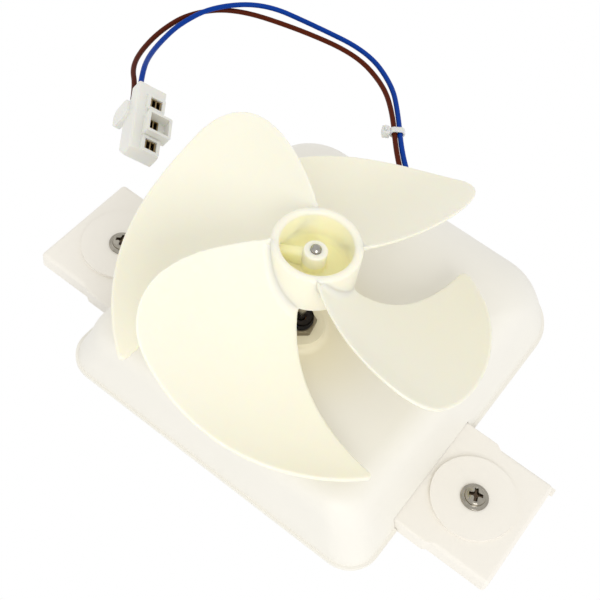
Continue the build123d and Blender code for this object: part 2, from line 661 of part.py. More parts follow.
def lead_grommet():
    """A flanged bush in the cap's far wall, with a hole for each lead."""
    half = GROMMET_WIDTH / 2
    bush = block(GROMMET_X - half, GROMMET_X + half, GROMMET_INNER, GROMMET_OUTER, 0, GROMMET_HEIGHT)
    bush = fillet(bush.edges().filter_by(Axis.Y).group_by(Axis.Z)[-1], 1)
    bush = bush - cap_blank()
    for side in (-1, 1):
        hole = Pos(GROMMET_X + side * LEAD_SPACING / 2, CAP_FAR_LENGTH, GROMMET_Z) * Rot(90, 0, 0)
        bush = bush - hole * Cylinder(LEAD_DIAMETER / 2, 2 * GROMMET_WIDTH)
    return bush


def cap_blank():
    """The cap's far wall round the grommet, to seat it."""
    x0, x1 = GROMMET_X - GROMMET_WIDTH, GROMMET_X + GROMMET_WIDTH
    window = block(x0, x1, CAP_FAR_LENGTH - 4 * CAP_WALL, CAP_FAR_LENGTH + 4 * CAP_WALL, -1, CEILING / 2)
    return motor_cap() & window


def tube(points, diameter, name):
    """Straight runs joined by arcs as large as the runs allow; prints the radii."""
    places = [Vector(*p) for p in points]
    radii = []
    for before, at, after in zip(places, places[1:], places[2:]):
        turn = math.radians((at - before).get_angle(after - at))
        shorter = min((at - before).length, (after - at).length)
        radii.append(0.45 * shorter / math.tan(turn / 2))
    path = Wire(FilletPolyline(*places, radius=radii).edges())
    start = path @ 0
    section = Plane(origin=start, z_dir=path % 0) * Circle(diameter / 2)
    solid = sweep(section, path=path)
    share = solid.volume / (path.length * math.pi * diameter**2 / 4)
    print(name, "radii", [round(r, 1) for r in radii])
    print(name, "length", round(path.length, 1), "volume share", round(share, 4))
    return solid


# Route of each lead over the table, from the grommet to the connector
BLUE_ROUTE = [
    (GROMMET_X + LEAD_SPACING / 2, GROMMET_OUTER, GROMMET_Z),
    (-15.5, 100.5, 2.4),
    (-26.5, 111.0, 2.2),
    (-39.5, 127.6, 2.2),
    (-51.0, 140.5, 1.15),
    (-70.0, 149.5, 1.15),
    (-97.0, 146.0, 1.15),
    (-119.0, 139.0, 3.9),
    (-133.5, 122.0, 3.9),
    (-138.6, 106.0, 1.4),
    (-137.0, 92.0, 2.0),
    (-132.5, 79.0, 5.5),
]
BROWN_ROUTE = [
    (GROMMET_X - LEAD_SPACING / 2, GROMMET_OUTER, GROMMET_Z),
    (-18.8, 100.0, 2.4),
    (-28.5, 109.8, 2.2),
    (-41.6, 126.5, 2.2),
    (-54.0, 138.0, 1.15),
    (-73.0, 144.5, 1.15),
    (-100.0, 139.5, 1.15),
    (-128.0, 130.0, 1.15),
    (-140.0, 114.0, 1.15),
    (-141.8, 97.0, 1.3),
    (-139.0, 81.0, 2.2),
    (-133.2, 69.5, 4.8),
]


def wire_entry(face, depth, before):
    """A point on a lead's straight way into the connector, a distance before the face it enters."""
    place = plug_frame() * Pos(face - before, depth, WIRE_ENTRY_SIDE)
    return tuple(place.position)


def blue_lead():
    face = PLUG_START
    entry = [wire_entry(face, BLUE_ENTRY_DEPTH, 8.5), wire_entry(face, BLUE_ENTRY_DEPTH, 0)]
    return tube(BLUE_ROUTE + entry, LEAD_DIAMETER, "blue_lead")


def brown_lead():
    face = PLUG_START + BROWN_STEP_LENGTH
    entry = [wire_entry(face, BROWN_ENTRY_DEPTH, 10.0), wire_entry(face, BROWN_ENTRY_DEPTH, 0)]
    return tube(BROWN_ROUTE + entry, LEAD_DIAMETER, "brown_lead")


def inner_lead(side):
    """The stretch of a lead inside the cap, from its pin to the grommet."""
    x = side * TERMINAL_SPACING / 2
    exit_x = GROMMET_X + side * LEAD_SPACING / 2
    points = [
        (x, PIN_END, STACK_MIDDLE),
        (x, PIN_END + LEAD_STRAIGHT, STACK_MIDDLE),
        (exit_x, GROMMET_INNER - LEAD_STRAIGHT, GROMMET_Z),
        (exit_x, GROMMET_INNER, GROMMET_Z),
    ]
    return tube(points, LEAD_DIAMETER, "inner_lead")


def cable_tie():
    """A flat band round both leads, with its square head at the side."""
    blue_a, blue_b = Vector(*BLUE_ROUTE[2]), Vector(*BLUE_ROUTE[3])
    brown_a, brown_b = Vector(*BROWN_ROUTE[2]), Vector(*BROWN_ROUTE[3])
    blue_mid = (blue_a + blue_b) * 0.5
    brown_mid = (brown_a + brown_b) * 0.5
    centre = (blue_mid + brown_mid) * 0.5
    along = (blue_b - blue_a).normalized()
    across = (blue_mid - brown_mid)
    across = (across - along * across.dot(along))
    gap = across.length
    plane = Plane(origin=centre, x_dir=across.normalized(), z_dir=along)
    length = gap + LEAD_DIAMETER + TIE_CLEARANCE
    height = LEAD_DIAMETER + TIE_CLEARANCE
    inside = SlotOverall(length, height)
    outside = SlotOverall(length + 2 * TIE_BAND_THICKNESS, height + 2 * TIE_BAND_THICKNESS)
    band = extrude(plane * (outside - inside), TIE_BAND_WIDTH / 2, both=True)
    side = -(gap + LEAD_DIAMETER) / 2 - TIE_HEAD / 2 - TIE_BAND_THICKNESS * 0.4
    head = plane * Pos(side, 0, 0) * Box(TIE_HEAD * 0.8, LEAD_DIAMETER + 2 * TIE_BAND_THICKNESS, TIE_HEAD)
    head = fillet(head.edges(), 0.5)
    return band + head


def plug_frame():
    """Place of the connector: x along its row of mouths, y out of them, z towards the latch."""
    return Pos(*PLUG_PLACE) * Rot(0, 0, PLUG_TURN) * Rot(PLUG_TILT, 0, 0)


def cell_places():
    """Where each mouth stands along the row, and how far it rises from the body."""
    return [(-PLUG_PITCH, FRAME_RISE), (0.0, TALL_SLEEVE_RISE), (PLUG_PITCH, FRAME_RISE)]


def connector_housing():
    """A moulded body with two square mouths, a taller sleeve between them and a latch."""
    side = Polyline(
        (PLUG_START, 0),
        (PLUG_END - PLUG_TAPER, 0),
        (PLUG_END, PLUG_TAPER_DEPTH),
        (PLUG_END, PLUG_DEPTH),
        (PLUG_START, PLUG_DEPTH),
        close=True,
    )
    body = Pos(0, 0, PLUG_RIGHT) * extrude(make_face(side), PLUG_LEFT - PLUG_RIGHT)
    body = fillet(body.edges().filter_by(Axis.Z), 0.8)
    body = fillet(body.edges().group_by(Axis.Z)[-1], 1.0)
    for x, rise in cell_places():
        side = TALL_SLEEVE_SIDE if rise == TALL_SLEEVE_RISE else FRAME_SIDE
        shift = TALL_SLEEVE_SHIFT if rise == TALL_SLEEVE_RISE else 0.0
        low, high = x - side / 2 + shift, x + side / 2 + shift
        frame = block(low, high, PLUG_DEPTH - 1, PLUG_DEPTH + rise, -side / 2 - shift, side / 2 - shift)
        body = body + fillet(frame.edges().filter_by(Axis.Y), 0.8)
    for x, rise in cell_places():
        half = MOUTH_SIDE / 2
        if rise == TALL_SLEEVE_RISE:
            open_half = TALL_SLEEVE_SIDE / 2 - 1.2
            shift = TALL_SLEEVE_SHIFT
            body = body - block(
                x + shift - open_half,
                x + shift + open_half,
                PLUG_DEPTH,
                PLUG_DEPTH + rise + 1,
                -open_half - shift,
                open_half - shift,
            )
        body = body - block(x - half, x + half, PLUG_DEPTH - MOUTH_DEPTH, PLUG_DEPTH + rise + 1, -half, half)
    step_end = PLUG_START + BROWN_STEP_LENGTH
    body = body - block(PLUG_START - 1, step_end, -1, BROWN_STEP_DEPTH, BROWN_STEP_SIDE, PLUG_LEFT + 1)
    latch_foot = PLUG_LEFT - 1.2
    latch_end = LATCH_START + LATCH_LENGTH
    arm = block(LATCH_START, latch_end, -LATCH_FOOT, PLUG_DEPTH / 2, latch_foot, latch_foot + LATCH_THICKNESS)
    arm = fillet(arm.edges().filter_by(Axis.Z), LATCH_CORNER)
    return plug_frame() * (body + arm)


def connector_terminal(x):
    """A brass receptacle seated in its mouth: two channels side by side with rolled-in edges."""
    half = TERMINAL_SIDE / 2
    floor = PLUG_DEPTH - MOUTH_DEPTH
    top = PLUG_DEPTH + FRAME_RISE - TERMINAL_RECESS
    outer = block(x - half, x + half, floor, top, -half, half)
    inner = half - TERMINAL_WALL
    for side in (-1, 1):
        low, high = sorted((side * TERMINAL_WALL / 2, side * inner))
        outer = outer - block(x - inner, x + inner, floor + TERMINAL_WALL, top + 1, low, high)
        gap_low, gap_high = sorted((side * TERMINAL_WALL * 1.6, side * (inner - TERMINAL_WALL * 0.6)))
        outer = outer - block(x, x + half + 1, floor + MOUTH_DEPTH / 2, top + 1, gap_low, gap_high)
    return plug_frame() * outer


def main():
    os.makedirs("parts", exist_ok=True)
    save(mounting_bracket(), "mounting_bracket")
    save(motor_cap(), "motor_cap")
    save(pair(ear_screw, EAR_SCREW_SPACING), "ear_screws")
    cap_screw_length = STRAP_WALL + BOSS_HOLE_DEPTH - 2
    motor_screw_length = CEILING - 0.5 - (STRAP_HEIGHT - STRAP_WALL)
    save(pair(lambda x: small_screw(x, cap_screw_length), BOSS_SPACING), "cap_screws")
    save(pair(lambda x: small_screw(x, motor_screw_length), MOTOR_SCREW_SPACING), "motor_screws")
    save(stator_core(), "stator_core")
    save(Compound(children=[shading_ring(a) for a in SHADE_ANGLES]), "shading_rings")
    save(coil_bobbin(), "coil_bobbin")
    save(coil_winding(), "coil_winding")
    save(pair(terminal_pin, TERMINAL_SPACING), "coil_terminals")
    save(front_bearing_bracket(), "front_bearing_bracket")
    save(rear_bearing_bracket(), "rear_bearing_bracket")
    save(neck_nut(), "neck_nut")
    rear_bearing_bottom = THRUST_TOP + FELT_HEIGHT
    bore = SHAFT_RADIUS + RUNNING_FIT
    save(ring(BEARING_RADIUS, bore, PLATE_BOTTOM, FELT_BOTTOM), "front_bearing")
    save(ring(BEARING_RADIUS, bore, rear_bearing_bottom, REAR_PLATE_TOP), "rear_bearing")
    front_felt = ring(FELT_SEAT_RADIUS, FELT_HOLE_RADIUS, FELT_BOTTOM, FELT_TOP)
    rear_felt = ring(BEARING_RADIUS, FELT_HOLE_RADIUS, THRUST_TOP, rear_bearing_bottom)
    save(Compound(children=[front_felt, rear_felt]), "oil_felts")
    save(disc(BEARING_RADIUS, REAR_FLOOR_BOTTOM + REAR_FLOOR, THRUST_TOP), "thrust_disc")
    save(motor_shaft(), "motor_shaft")
    save(rotor_core(), "rotor_core")
    save(rotor_cage(), "rotor_cage")
    front_washer = PLATE_BOTTOM - END_PLAY - WASHER_HEIGHT
    rear_washer = REAR_PLATE_TOP + END_PLAY
    front_spacer = ring(SPACER_RADIUS, SHAFT_RADIUS, STACK_TOP, front_washer)
    rear_spacer = ring(SPACER_RADIUS, SHAFT_RADIUS, rear_washer + WASHER_HEIGHT, STACK_BOTTOM)
    save(Compound(children=[front_spacer, rear_spacer]), "shaft_spacers")
    washer_bore = SHAFT_RADIUS + RUNNING_FIT
    front = ring(WASHER_RADIUS, washer_bore, front_washer, front_washer + WASHER_HEIGHT)
    rear = ring(WASHER_RADIUS, washer_bore, rear_washer, rear_washer + WASHER_HEIGHT)
    save(Compound(children=[front, rear]), "thrust_washers")
    save(fan_impeller(), "fan_impeller")
    save(lead_grommet(), "lead_grommet")
    save(Compound(children=[inner_lead(-1), inner_lead(1)]), "inner_leads")
    save(blue_lead(), "blue_lead")
    save(brown_lead(), "brown_lead")
    save(cable_tie(), "cable_tie")
    save(connector_housing(), "connector_housing")
    save(Compound(children=[connector_terminal(x) for x, rise in cell_places()]), "connector_terminals")


main()
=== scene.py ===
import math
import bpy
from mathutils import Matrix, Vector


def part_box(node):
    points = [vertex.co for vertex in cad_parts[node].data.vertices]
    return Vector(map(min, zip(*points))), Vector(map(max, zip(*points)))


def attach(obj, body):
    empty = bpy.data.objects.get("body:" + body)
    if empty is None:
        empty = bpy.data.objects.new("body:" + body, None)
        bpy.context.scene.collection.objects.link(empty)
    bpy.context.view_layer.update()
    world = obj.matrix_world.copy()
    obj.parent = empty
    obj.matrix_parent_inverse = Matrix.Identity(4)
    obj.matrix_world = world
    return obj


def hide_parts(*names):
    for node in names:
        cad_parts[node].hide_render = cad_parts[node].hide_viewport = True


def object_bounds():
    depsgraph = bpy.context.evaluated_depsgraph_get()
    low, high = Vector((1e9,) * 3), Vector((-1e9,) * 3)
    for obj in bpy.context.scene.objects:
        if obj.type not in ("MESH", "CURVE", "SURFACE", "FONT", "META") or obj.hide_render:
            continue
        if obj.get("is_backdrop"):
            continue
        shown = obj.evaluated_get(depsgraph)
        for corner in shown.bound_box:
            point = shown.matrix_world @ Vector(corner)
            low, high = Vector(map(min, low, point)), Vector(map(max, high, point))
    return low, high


bl_info = {
    "name": "Fan motor",
    "version": (1, 0, 0),
    "blender": (4, 5, 0),
    "location": "3D View > Sidebar > Fan motor",
    "description": "Finishes a small capped fan motor with its fan, leads and connector",
    "category": "Object",
}

import bmesh
import bpy
import numpy as np
from bpy.props import FloatProperty, FloatVectorProperty, IntProperty, PointerProperty
from mathutils import Matrix, Vector

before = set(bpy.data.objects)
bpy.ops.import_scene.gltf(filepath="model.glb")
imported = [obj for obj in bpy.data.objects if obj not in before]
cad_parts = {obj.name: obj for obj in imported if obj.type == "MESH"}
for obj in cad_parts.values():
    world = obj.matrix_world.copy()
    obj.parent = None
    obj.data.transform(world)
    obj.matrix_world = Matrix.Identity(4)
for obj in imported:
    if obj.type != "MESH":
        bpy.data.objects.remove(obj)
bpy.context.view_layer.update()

MM = 0.001
SENSOR = 36.0
PICTURE = 600

# Points nearer than this are one point, faces that turn less are one face, and edges that turn more
# are sharp
SAME_POINT = 0.002 * MM
SAME_FACE = math.radians(0.5)
SHARP_EDGE = math.radians(35)

# Stage: each lamp's place from the target and its side, in metres, then the floor and the sky
KEY_LAMP = (0.75, -0.75, 0.75), 0.6
FILL_LAMP = (-0.9, -0.1, 0.8), 0.8
FLOOR_REACH = 3.0
FLOOR_GAP = 0.2 * MM
FLOOR_COLOUR = (0.9, 0.9, 0.9, 1)
FLOOR_ROUGHNESS = 0.9
SKY_COLOUR = (1.0, 0.99, 0.965, 1)
WHITE = (1, 1, 1, 1)

# Plastic: index of refraction, and how far light of each colour goes in
PLASTIC_IOR = 1.49
SOFT_RADIUS = (1, 0.7, 0.3)
SOFT_DEPTH = 4 * MM
PEBBLE_SCALE = 900

# The floor and the leads' insulation mirror little
DULL = 0.1

# Worked metal: how far its tone and its roughness swing about the given ones
TONE_SWING = 0.82, 1.1
ROUGH_SWING = 0.8, 1.25

# Painted shade under the fan: the cap is tinted warmer there for the fan's shadow and its yellow
# reflection; colour, then radius, low end, high end and soft band of the zone
CAP_PAINTED_SHADE = (0.925, 0.895, 0.79), 36 * MM, 5 * MM, 60 * MM, 32 * MM

# The wave texture turns by 20 radians a metre at scale 1, and one wave is one sheet of the stack
WAVE_TURN = 20
SHEET = 1.0 * MM

# How far the shaft's tip stands out of the boss, and the boss's top below the hub's rim; the hub's
# height, and how far the boss reaches below it
TIP_OUT = 1.2 * MM
BOSS_DROP = 3.4 * MM
HUB_HEIGHT = 15.3 * MM
BOSS_REACH = 1.4 * MM

# Heights along the shaft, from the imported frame
NUT_BOTTOM, NUT_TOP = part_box("neck_nut")[0][2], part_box("neck_nut")[1][2]
NECK_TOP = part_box("front_bearing_bracket")[1][2]
FAN_RADIUS = (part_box("fan_impeller")[1][0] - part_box("fan_impeller")[0][0]) / 2
BOSS_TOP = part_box("motor_shaft")[1][2] - TIP_OUT
HUB_TOP = BOSS_TOP + BOSS_DROP
HUB_BOTTOM = HUB_TOP - HUB_HEIGHT
BOSS_BOTTOM = HUB_BOTTOM - BOSS_REACH

# The blade's surface: a dished middle line, a slope that eases outwards, a camber and a curl
DISH_HEIGHT = HUB_BOTTOM - 10.1 * MM
DISH_DEPTH = 22.0 * MM
DISH_RADIUS = 43.0 * MM
ROOT_SLOPE = 0.65
SLOPE_FALL = 0.304
CAMBER_RADIUS = 68.0 * MM
CURL = 14.0 * MM
BLADE_MIDDLE_ANGLE = math.radians(190)

# The blade's edges in degrees from its middle line: at the hub, sweep outwards and sweep back; the
# high edge also turns in from its corner on
HIGH_EDGE = (-64.2, 40.9, -26.2)
HIGH_CORNER_START = 0.32
HIGH_CORNER_TURN = 24.5
LOW_EDGE = (11.2, 52.3, -14.6)

# Steps round the shaft of the hub, the screws, the nut and the neck's thread
HUB_STEPS, SCREW_STEPS, NUT_STEPS, THREAD_STEPS = 120, 108, 144, 96

# Routes of the two leads, from the grommet to the connector, in metres
BLUE_ROUTE = [
    (-0.01355, 0.0910, 0.0026),
    (-0.0155, 0.1005, 0.0024),
    (-0.0265, 0.1110, 0.0022),
    (-0.0395, 0.1276, 0.0022),
    (-0.0510, 0.1405, 0.00115),
    (-0.0700, 0.1495, 0.00115),
    (-0.0970, 0.1460, 0.00115),
    (-0.1190, 0.1390, 0.0039),
    (-0.1335, 0.1220, 0.0039),
    (-0.1386, 0.1060, 0.0014),
    (-0.1370, 0.0920, 0.0020),
    (-0.1325, 0.0790, 0.0055),
    (-0.12505, 0.06676, 0.0117),
    (-0.12015, 0.05981, 0.0117),
]
BROWN_ROUTE = [
    (-0.01705, 0.0910, 0.0026),
    (-0.0188, 0.1000, 0.0024),
    (-0.0285, 0.1098, 0.0022),
    (-0.0416, 0.1265, 0.0022),
    (-0.0540, 0.1380, 0.00115),
    (-0.0730, 0.1445, 0.00115),
    (-0.1000, 0.1395, 0.00115),
    (-0.1280, 0.1300, 0.00115),
    (-0.1400, 0.1140, 0.00115),
    (-0.1418, 0.0970, 0.0013),
    (-0.1390, 0.0810, 0.0022),
    (-0.1332, 0.0695, 0.0048),
    (-0.12421, 0.06123, 0.00737),
    (-0.11845, 0.05306, 0.00737),
]


def ease(distance, reach):
    """A quarter circle that rises from 0 to 1 over a reach, and stays 1 past it."""
    near = np.clip(distance / reach, 0, 1)
    return np.sqrt(1 - (1 - near) ** 2)


def rounded(corners, radii, steps=6):
    """A line through corners, each turned into an arc of its own radius that touches both sides."""
    corners = np.array(corners, float)
    line = []
    sides = zip(np.roll(corners, 1, 0), corners, np.roll(corners, -1, 0), radii)
    for before, at, after, radius in sides:
        if radius == 0:
            line.append(at[None])
            continue
        back = (before - at) / np.linalg.norm(before - at)
        on = (after - at) / np.linalg.norm(after - at)
        half = math.acos(float(np.clip(back @ on, -1, 1))) / 2
        centre = at + (back + on) / np.linalg.norm(back + on) * radius / math.sin(half)
        start = at + back * radius / math.tan(half) - centre
        end = at + on * radius / math.tan(half) - centre
        share = np.linspace(0, 1, steps)[:, None]
        turn = np.pi - 2 * half
        arc = np.sin((1 - share) * turn) * start + np.sin(share * turn) * end
        line.append(centre + arc / math.sin(turn))
    return np.concatenate(line)


def evenly(line, step):
    """The same line with points a step apart at most, its own points kept."""
    pieces = []
    for start, end in zip(line[:-1], line[1:]):
        count = max(1, int(np.ceil(np.linalg.norm(end - start) / step)))
        pieces.append(start + (end - start) * np.linspace(0, 1, count, endpoint=False)[:, None])
    return np.concatenate(pieces + [line[-1:]])


def on_circle(radius, angle, height):
    """Places about the shaft: x and y are the radius times the angle's cosine and sine."""
    return np.stack([radius * np.cos(angle), radius * np.sin(angle), height + 0 * angle], axis=-1)


def turned(profile, steps):
    """A profile of radius and height carried round the shaft."""
    angle = np.linspace(0, 2 * np.pi, steps, endpoint=False)
    return on_circle(profile[:, :1], angle, profile[:, 1:])


def round_loop(wide, high, radius, steps=8):
    """A rectangle with round corners: four quarter circles, each set in its own corner."""
    angle = np.concatenate([np.linspace(q, q + 1, steps) * np.pi / 2 for q in range(4)])
    signs = np.repeat([(1, 1), (-1, 1), (-1, -1), (1, -1)], steps, axis=0)
    inset = np.array([wide / 2 - radius, high / 2 - radius])
    return signs * inset + radius * np.stack([np.cos(angle), np.sin(angle)], axis=-1)


def about_shaft(points, turn):
    """Points turned about the shaft: x and y become sums of both times the cosine and the sine."""
    c, s = math.cos(turn), math.sin(turn)
    return points @ np.array([[c, s, 0], [-s, c, 0], [0, 0, 1]])


def closed_ends(grid):
    """A grid of rings with a point added at each end, so that the shell is closed."""
    first = np.broadcast_to(grid[:1].mean(axis=1, keepdims=True), grid[:1].shape)
    last = np.broadcast_to(grid[-1:].mean(axis=1, keepdims=True), grid[-1:].shape)
    return np.concatenate([first, grid, last])


def shell_faces(rows, columns, first, looped):
    """Quads over a grid whose columns close on themselves, and its rows too where it is looped."""
    index = first + np.arange(rows * columns).reshape(rows, columns)
    if looped:
        index = np.vstack([index, index[:1]])
    right = np.roll(index, -1, axis=1)
    return np.stack([index[:-1], right[:-1], right[1:], index[1:]], axis=-1).reshape(-1, 4)


def new_piece(name, shells, material, body, stands_for, crease=38):
    """One mesh of closed shells; a shell is a grid of points, and True where its rows close too."""
    points = [np.asarray(grid).reshape(-1, 3) for grid, looped in shells]
    starts = np.cumsum([0] + [len(p) for p in points])
    faces = [
        shell_faces(*grid.shape[:2], first, looped) for (grid, looped), first in zip(shells, starts)
    ]
    mesh = bpy.data.meshes.new(name)
    mesh.from_pydata(np.concatenate(points).tolist(), [], np.concatenate(faces).tolist())
    tidy_mesh(mesh)
    mesh.shade_smooth()
    mesh.set_sharp_from_angle(angle=math.radians(crease))
    place_piece(name, mesh, material, body, stands_for)


def tidy_mesh(mesh):
    """Merge the points that lie on each other, and turn every face outwards."""
    work = bmesh.new()
    work.from_mesh(mesh)
    bmesh.ops.remove_doubles(work, verts=work.verts, dist=SAME_POINT)
    bmesh.ops.recalc_face_normals(work, faces=work.faces)
    work.to_mesh(mesh)
    work.free()


def place_piece(name, mesh, material, body, stands_for):
    """An object with its mesh and material, on its body, for the nodes that it stands for."""
    piece = bpy.data.objects.new(name, mesh)
    bpy.context.scene.collection.objects.link(piece)
    paint(piece, material)
    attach(piece, body)
    if stands_for:
        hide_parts(*stands_for)
    return piece


def eased_copy(node, name, width, material):
    """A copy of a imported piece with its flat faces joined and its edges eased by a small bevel."""
    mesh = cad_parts[node].data.copy()
    work = bmesh.new()
    work.from_mesh(mesh)
    bmesh.ops.remove_doubles(work, verts=work.verts, dist=SAME_POINT)
    bmesh.ops.dissolve_limit(work, angle_limit=SAME_FACE, verts=work.verts, edges=work.edges)
    work.to_mesh(mesh)
    work.free()
    if "custom_normal" in mesh.attributes:
        mesh.attributes.remove(mesh.attributes["custom_normal"])
    mesh.shade_smooth()
    mesh.set_sharp_from_angle(angle=SHARP_EDGE)
    piece = place_piece(name, mesh, material, "motor", [node])
    bevel = piece.modifiers.new("eased_edges", "BEVEL")
    bevel.width = width
    bevel.segments = 2
    bevel.limit_method = "ANGLE"
    bevel.angle_limit = SHARP_EDGE
    bevel.harden_normals = True


def linear(colour):
    """An sRGB colour as the linear values that a shader takes."""
    low = [c / 12.92 if c <= 0.04045 else ((c + 0.055) / 1.055) ** 2.4 for c in colour]
    return (low[0], low[1], low[2], 1.0)


def length(name, description, millimetres):
    """A setting that is a length, kept in metres."""
    return FloatProperty(name=name, description=description, default=millimetres * MM, unit="LENGTH")


def number(name, description, value, kind="NONE"):
    """A setting that is a plain number, or a number of a kind that has its own unit."""
    return FloatProperty(name=name, description=description, default=value, subtype=kind)


def degrees(name, description, value):
    """A setting that is an angle: given in degrees, kept in radians."""
    return number(name, description, math.radians(value), "ANGLE")


def tint(name, description, value):
    """A setting that is an sRGB colour."""
    return FloatVectorProperty(name=name, description=description, default=value, subtype="COLOR")


class StudioSettings(bpy.types.PropertyGroup):
    """Camera fitted to the photo, and the light"""

    azimuth: degrees("Azimuth", "Turn of the camera", 26.37)
    elevation: degrees("Elevation", "Height of the camera", 55.73)
    roll: degrees("Roll", "Roll of the camera", 12.72)
    distance: length("Distance", "From the target to the camera", 373.93)
    target: FloatVectorProperty(
        name="Target",
        description="Point the camera looks at",
        default=(-0.009208, 0.015607, 0.0201),
        subtype="TRANSLATION",
    )
    focal_pixels: number("Focal length", "For a picture 600 wide", 1095.74, "PIXEL")
    key: number("Key light", "Power of the main softbox", 4.7, "POWER")
    fill: number("Fill light", "Power of the second softbox", 0.6, "POWER")
    sky: number("Sky", "Strength of the even light", 0.87)


class PlasticSettings(bpy.types.PropertyGroup):
    """Colours of the mouldings"""

    cap: tint("Cap", "Cap colour", (0.945, 0.935, 0.905))
    bracket: tint("Bracket", "Strap colour", (0.955, 0.94, 0.91))
    fan: tint("Fan", "Fan colour", (0.97, 0.957, 0.895))
    # The cup colour is painted light: a deeper yellow for light bounced inside the hub's cup
    cup: tint("Cup", "Fan colour inside the hub", (1.0, 0.98, 0.79))
    connector: tint("Connector", "Connector colour", (0.93, 0.93, 0.91))
    tie: tint("Tie", "Cable tie colour", (0.90, 0.90, 0.89))


class LeadSettings(bpy.types.PropertyGroup):
    """The two leads"""

    diameter: length("Diameter", "Over the insulation", 2.2)
    blue: tint("Blue", "Blue lead", (0.0, 0.235, 0.63))
    brown: tint("Brown", "Brown lead", (0.34, 0.10, 0.0))


class FanSettings(bpy.types.PropertyGroup):
    """The fan's blades and hub"""

    blades: IntProperty(name="Blades", description="Number of blades", default=4, min=1)
    thickness: length("Blade", "Blade thickness", 2.0)
    edge: length("Edge", "Reach of the blade's round edge", 1.0)
    flare: length("Flare", "Fillet at the blade's root", 2.4)
    corner: length("Corner", "Radius of the low corner", 3.0)
    hub_radius: length("Hub", "Hub's outer radius", 13.75)
    hub_wall: length("Wall", "Hub's wall", 2.7)
    cup_depth: length("Cup", "Depth of the hub's cup", 10.7)
    floor: length("Floor", "Thickness of the cup's floor", 2.0)
    boss_radius: length("Boss", "Radius of the boss", 3.7)
    bore: length("Bore", "Radius of the bore", 1.6)
    rib_angle: degrees("Rib turn", "Place of the rib", 199)
    rib_width: length("Rib", "Width of the rib", 3.6)
    rib_drop: length("Rib drop", "Fall of the rib", 4.5)


class NeckSettings(bpy.types.PropertyGroup):
    """The neck's thread and its nut"""

    across_flats: length("Nut", "Across the flats", 10.0)
    turn: degrees("Turn", "Turn of the nut", 42)
    chamfer: length("Chamfer", "Chamfer at the corners", 0.55)
    radius: length("Neck", "Radius of the neck", 4.2)
    pitch: length("Pitch", "Pitch of the neck's thread", 0.75)
    depth: length("Depth", "Depth of the neck's thread", 0.3)


class ScrewSettings(bpy.types.PropertyGroup):
    """The two ear screws"""

    spacing: length("Spacing", "Between the ear screws", 151.7)
    seat: length("Seat", "Height of the pads", 7.2)
    flange: length("Flange", "Radius of the flange", 4.75)
    head: length("Head", "Radius of the head", 3.5)
    height: length("Height", "Height of the head", 2.7)
    neck: length("Neck", "Radius of the plain neck", 2.3)
    thread: length("Thread", "Radius of the thread", 1.95)
    pitch: length("Pitch", "Pitch of the thread", 1.4)
    under: length("Under", "Height where the thread starts", 4.0)
    recess_length: length("Recess", "Length of the cross", 4.7)
    recess_width: length("Slot", "Width of the cross", 1.25)
    recess_depth: length("Depth", "Depth of the cross", 1.5)
    recess_turn: degrees("Turn", "Turn of the cross", 25)


class CoilSettings(bpy.types.PropertyGroup):
    """The wound coil"""

    turns: IntProperty(name="Turns", description="Turns that show along the coil", default=56)
    wire: length("Wire", "Height of the ridges", 0.2)
    corner: length("Corner", "Radius of the coil's corners", 3.4)


class TieSettings(bpy.types.PropertyGroup):
    """The cable tie"""

    width: length("Width", "Width of the band", 2.5)
    band: length("Band", "Thickness of the band", 0.9)
    clearance: length("Clearance", "Over both leads", 0.3)
    head: length("Head", "Side of the head", 4.2)


# The kind of socket that holds one, three or four numbers, and what each surface group gives
SOCKETS = {1: "NodeSocketFloat", 3: "NodeSocketVector", 4: "NodeSocketColor"}
SURFACE = {"Colour": 4, "Roughness": 1, "Height": 1}


def node_group(name, inputs, outputs):
    """An empty shader group with the given sockets, or the one made before."""
    group = bpy.data.node_groups.get(name)
    if group:
        return group, None, None
    group = bpy.data.node_groups.new(name, "ShaderNodeTree")
    for label, value in inputs.items():
        kind = SOCKETS[np.size(value)]
        socket = group.interface.new_socket(name=label, in_out="INPUT", socket_type=kind)
        socket.default_value = value
    for label, count in outputs.items():
        group.interface.new_socket(name=label, in_out="OUTPUT", socket_type=SOCKETS[count])
    return group, group.nodes.new("NodeGroupInput"), group.nodes.new("NodeGroupOutput")


def add_node(tree, kind, feeds, **settings):
    """A node with its settings; each of its inputs is linked to a socket or set to a value."""
    node = tree.nodes.new(kind)
    for name, value in settings.items():
        setattr(node, name, value)
    for slot, value in feeds.items():
        if isinstance(value, bpy.types.NodeSocket):
            tree.links.new(value, node.inputs[slot])
        else:
            node.inputs[slot].default_value = value
    return node


def object_place(tree):
    """The place on the object, in metres."""
    return add_node(tree, "ShaderNodeTexCoord", {}).outputs["Object"]


def noise(tree, place, feeds):
    """Smooth random values over a place."""
    return add_node(tree, "ShaderNodeTexNoise", {"Vector": place, **feeds}).outputs["Fac"]


def blend(tree, factor, first, second):
    """The first colour where the factor is 0 and the second where it is 1."""
    feeds = {"Factor": factor, "A": first, "B": second}
    return add_node(tree, "ShaderNodeMix", feeds, data_type="RGBA").outputs["Result"]


def spread(tree, factor, low, high):
    """The low value where the factor is 0 and the high one where it is 1."""
    feeds = {"Value": factor, "To Min": low, "To Max": high}
    return add_node(tree, "ShaderNodeMapRange", feeds).outputs["Result"]


def reckon(tree, first, operation, second):
    """One sum of two sockets."""
    return add_node(tree, "ShaderNodeMath", {0: first, 1: second}, operation=operation).outputs[0]


def leave_surface(group, leave, colour, roughness, height):
    """Link the three outputs of a surface group."""
    for label, value in zip(SURFACE, (colour, roughness, height)):
        group.links.new(value, leave.inputs[label])


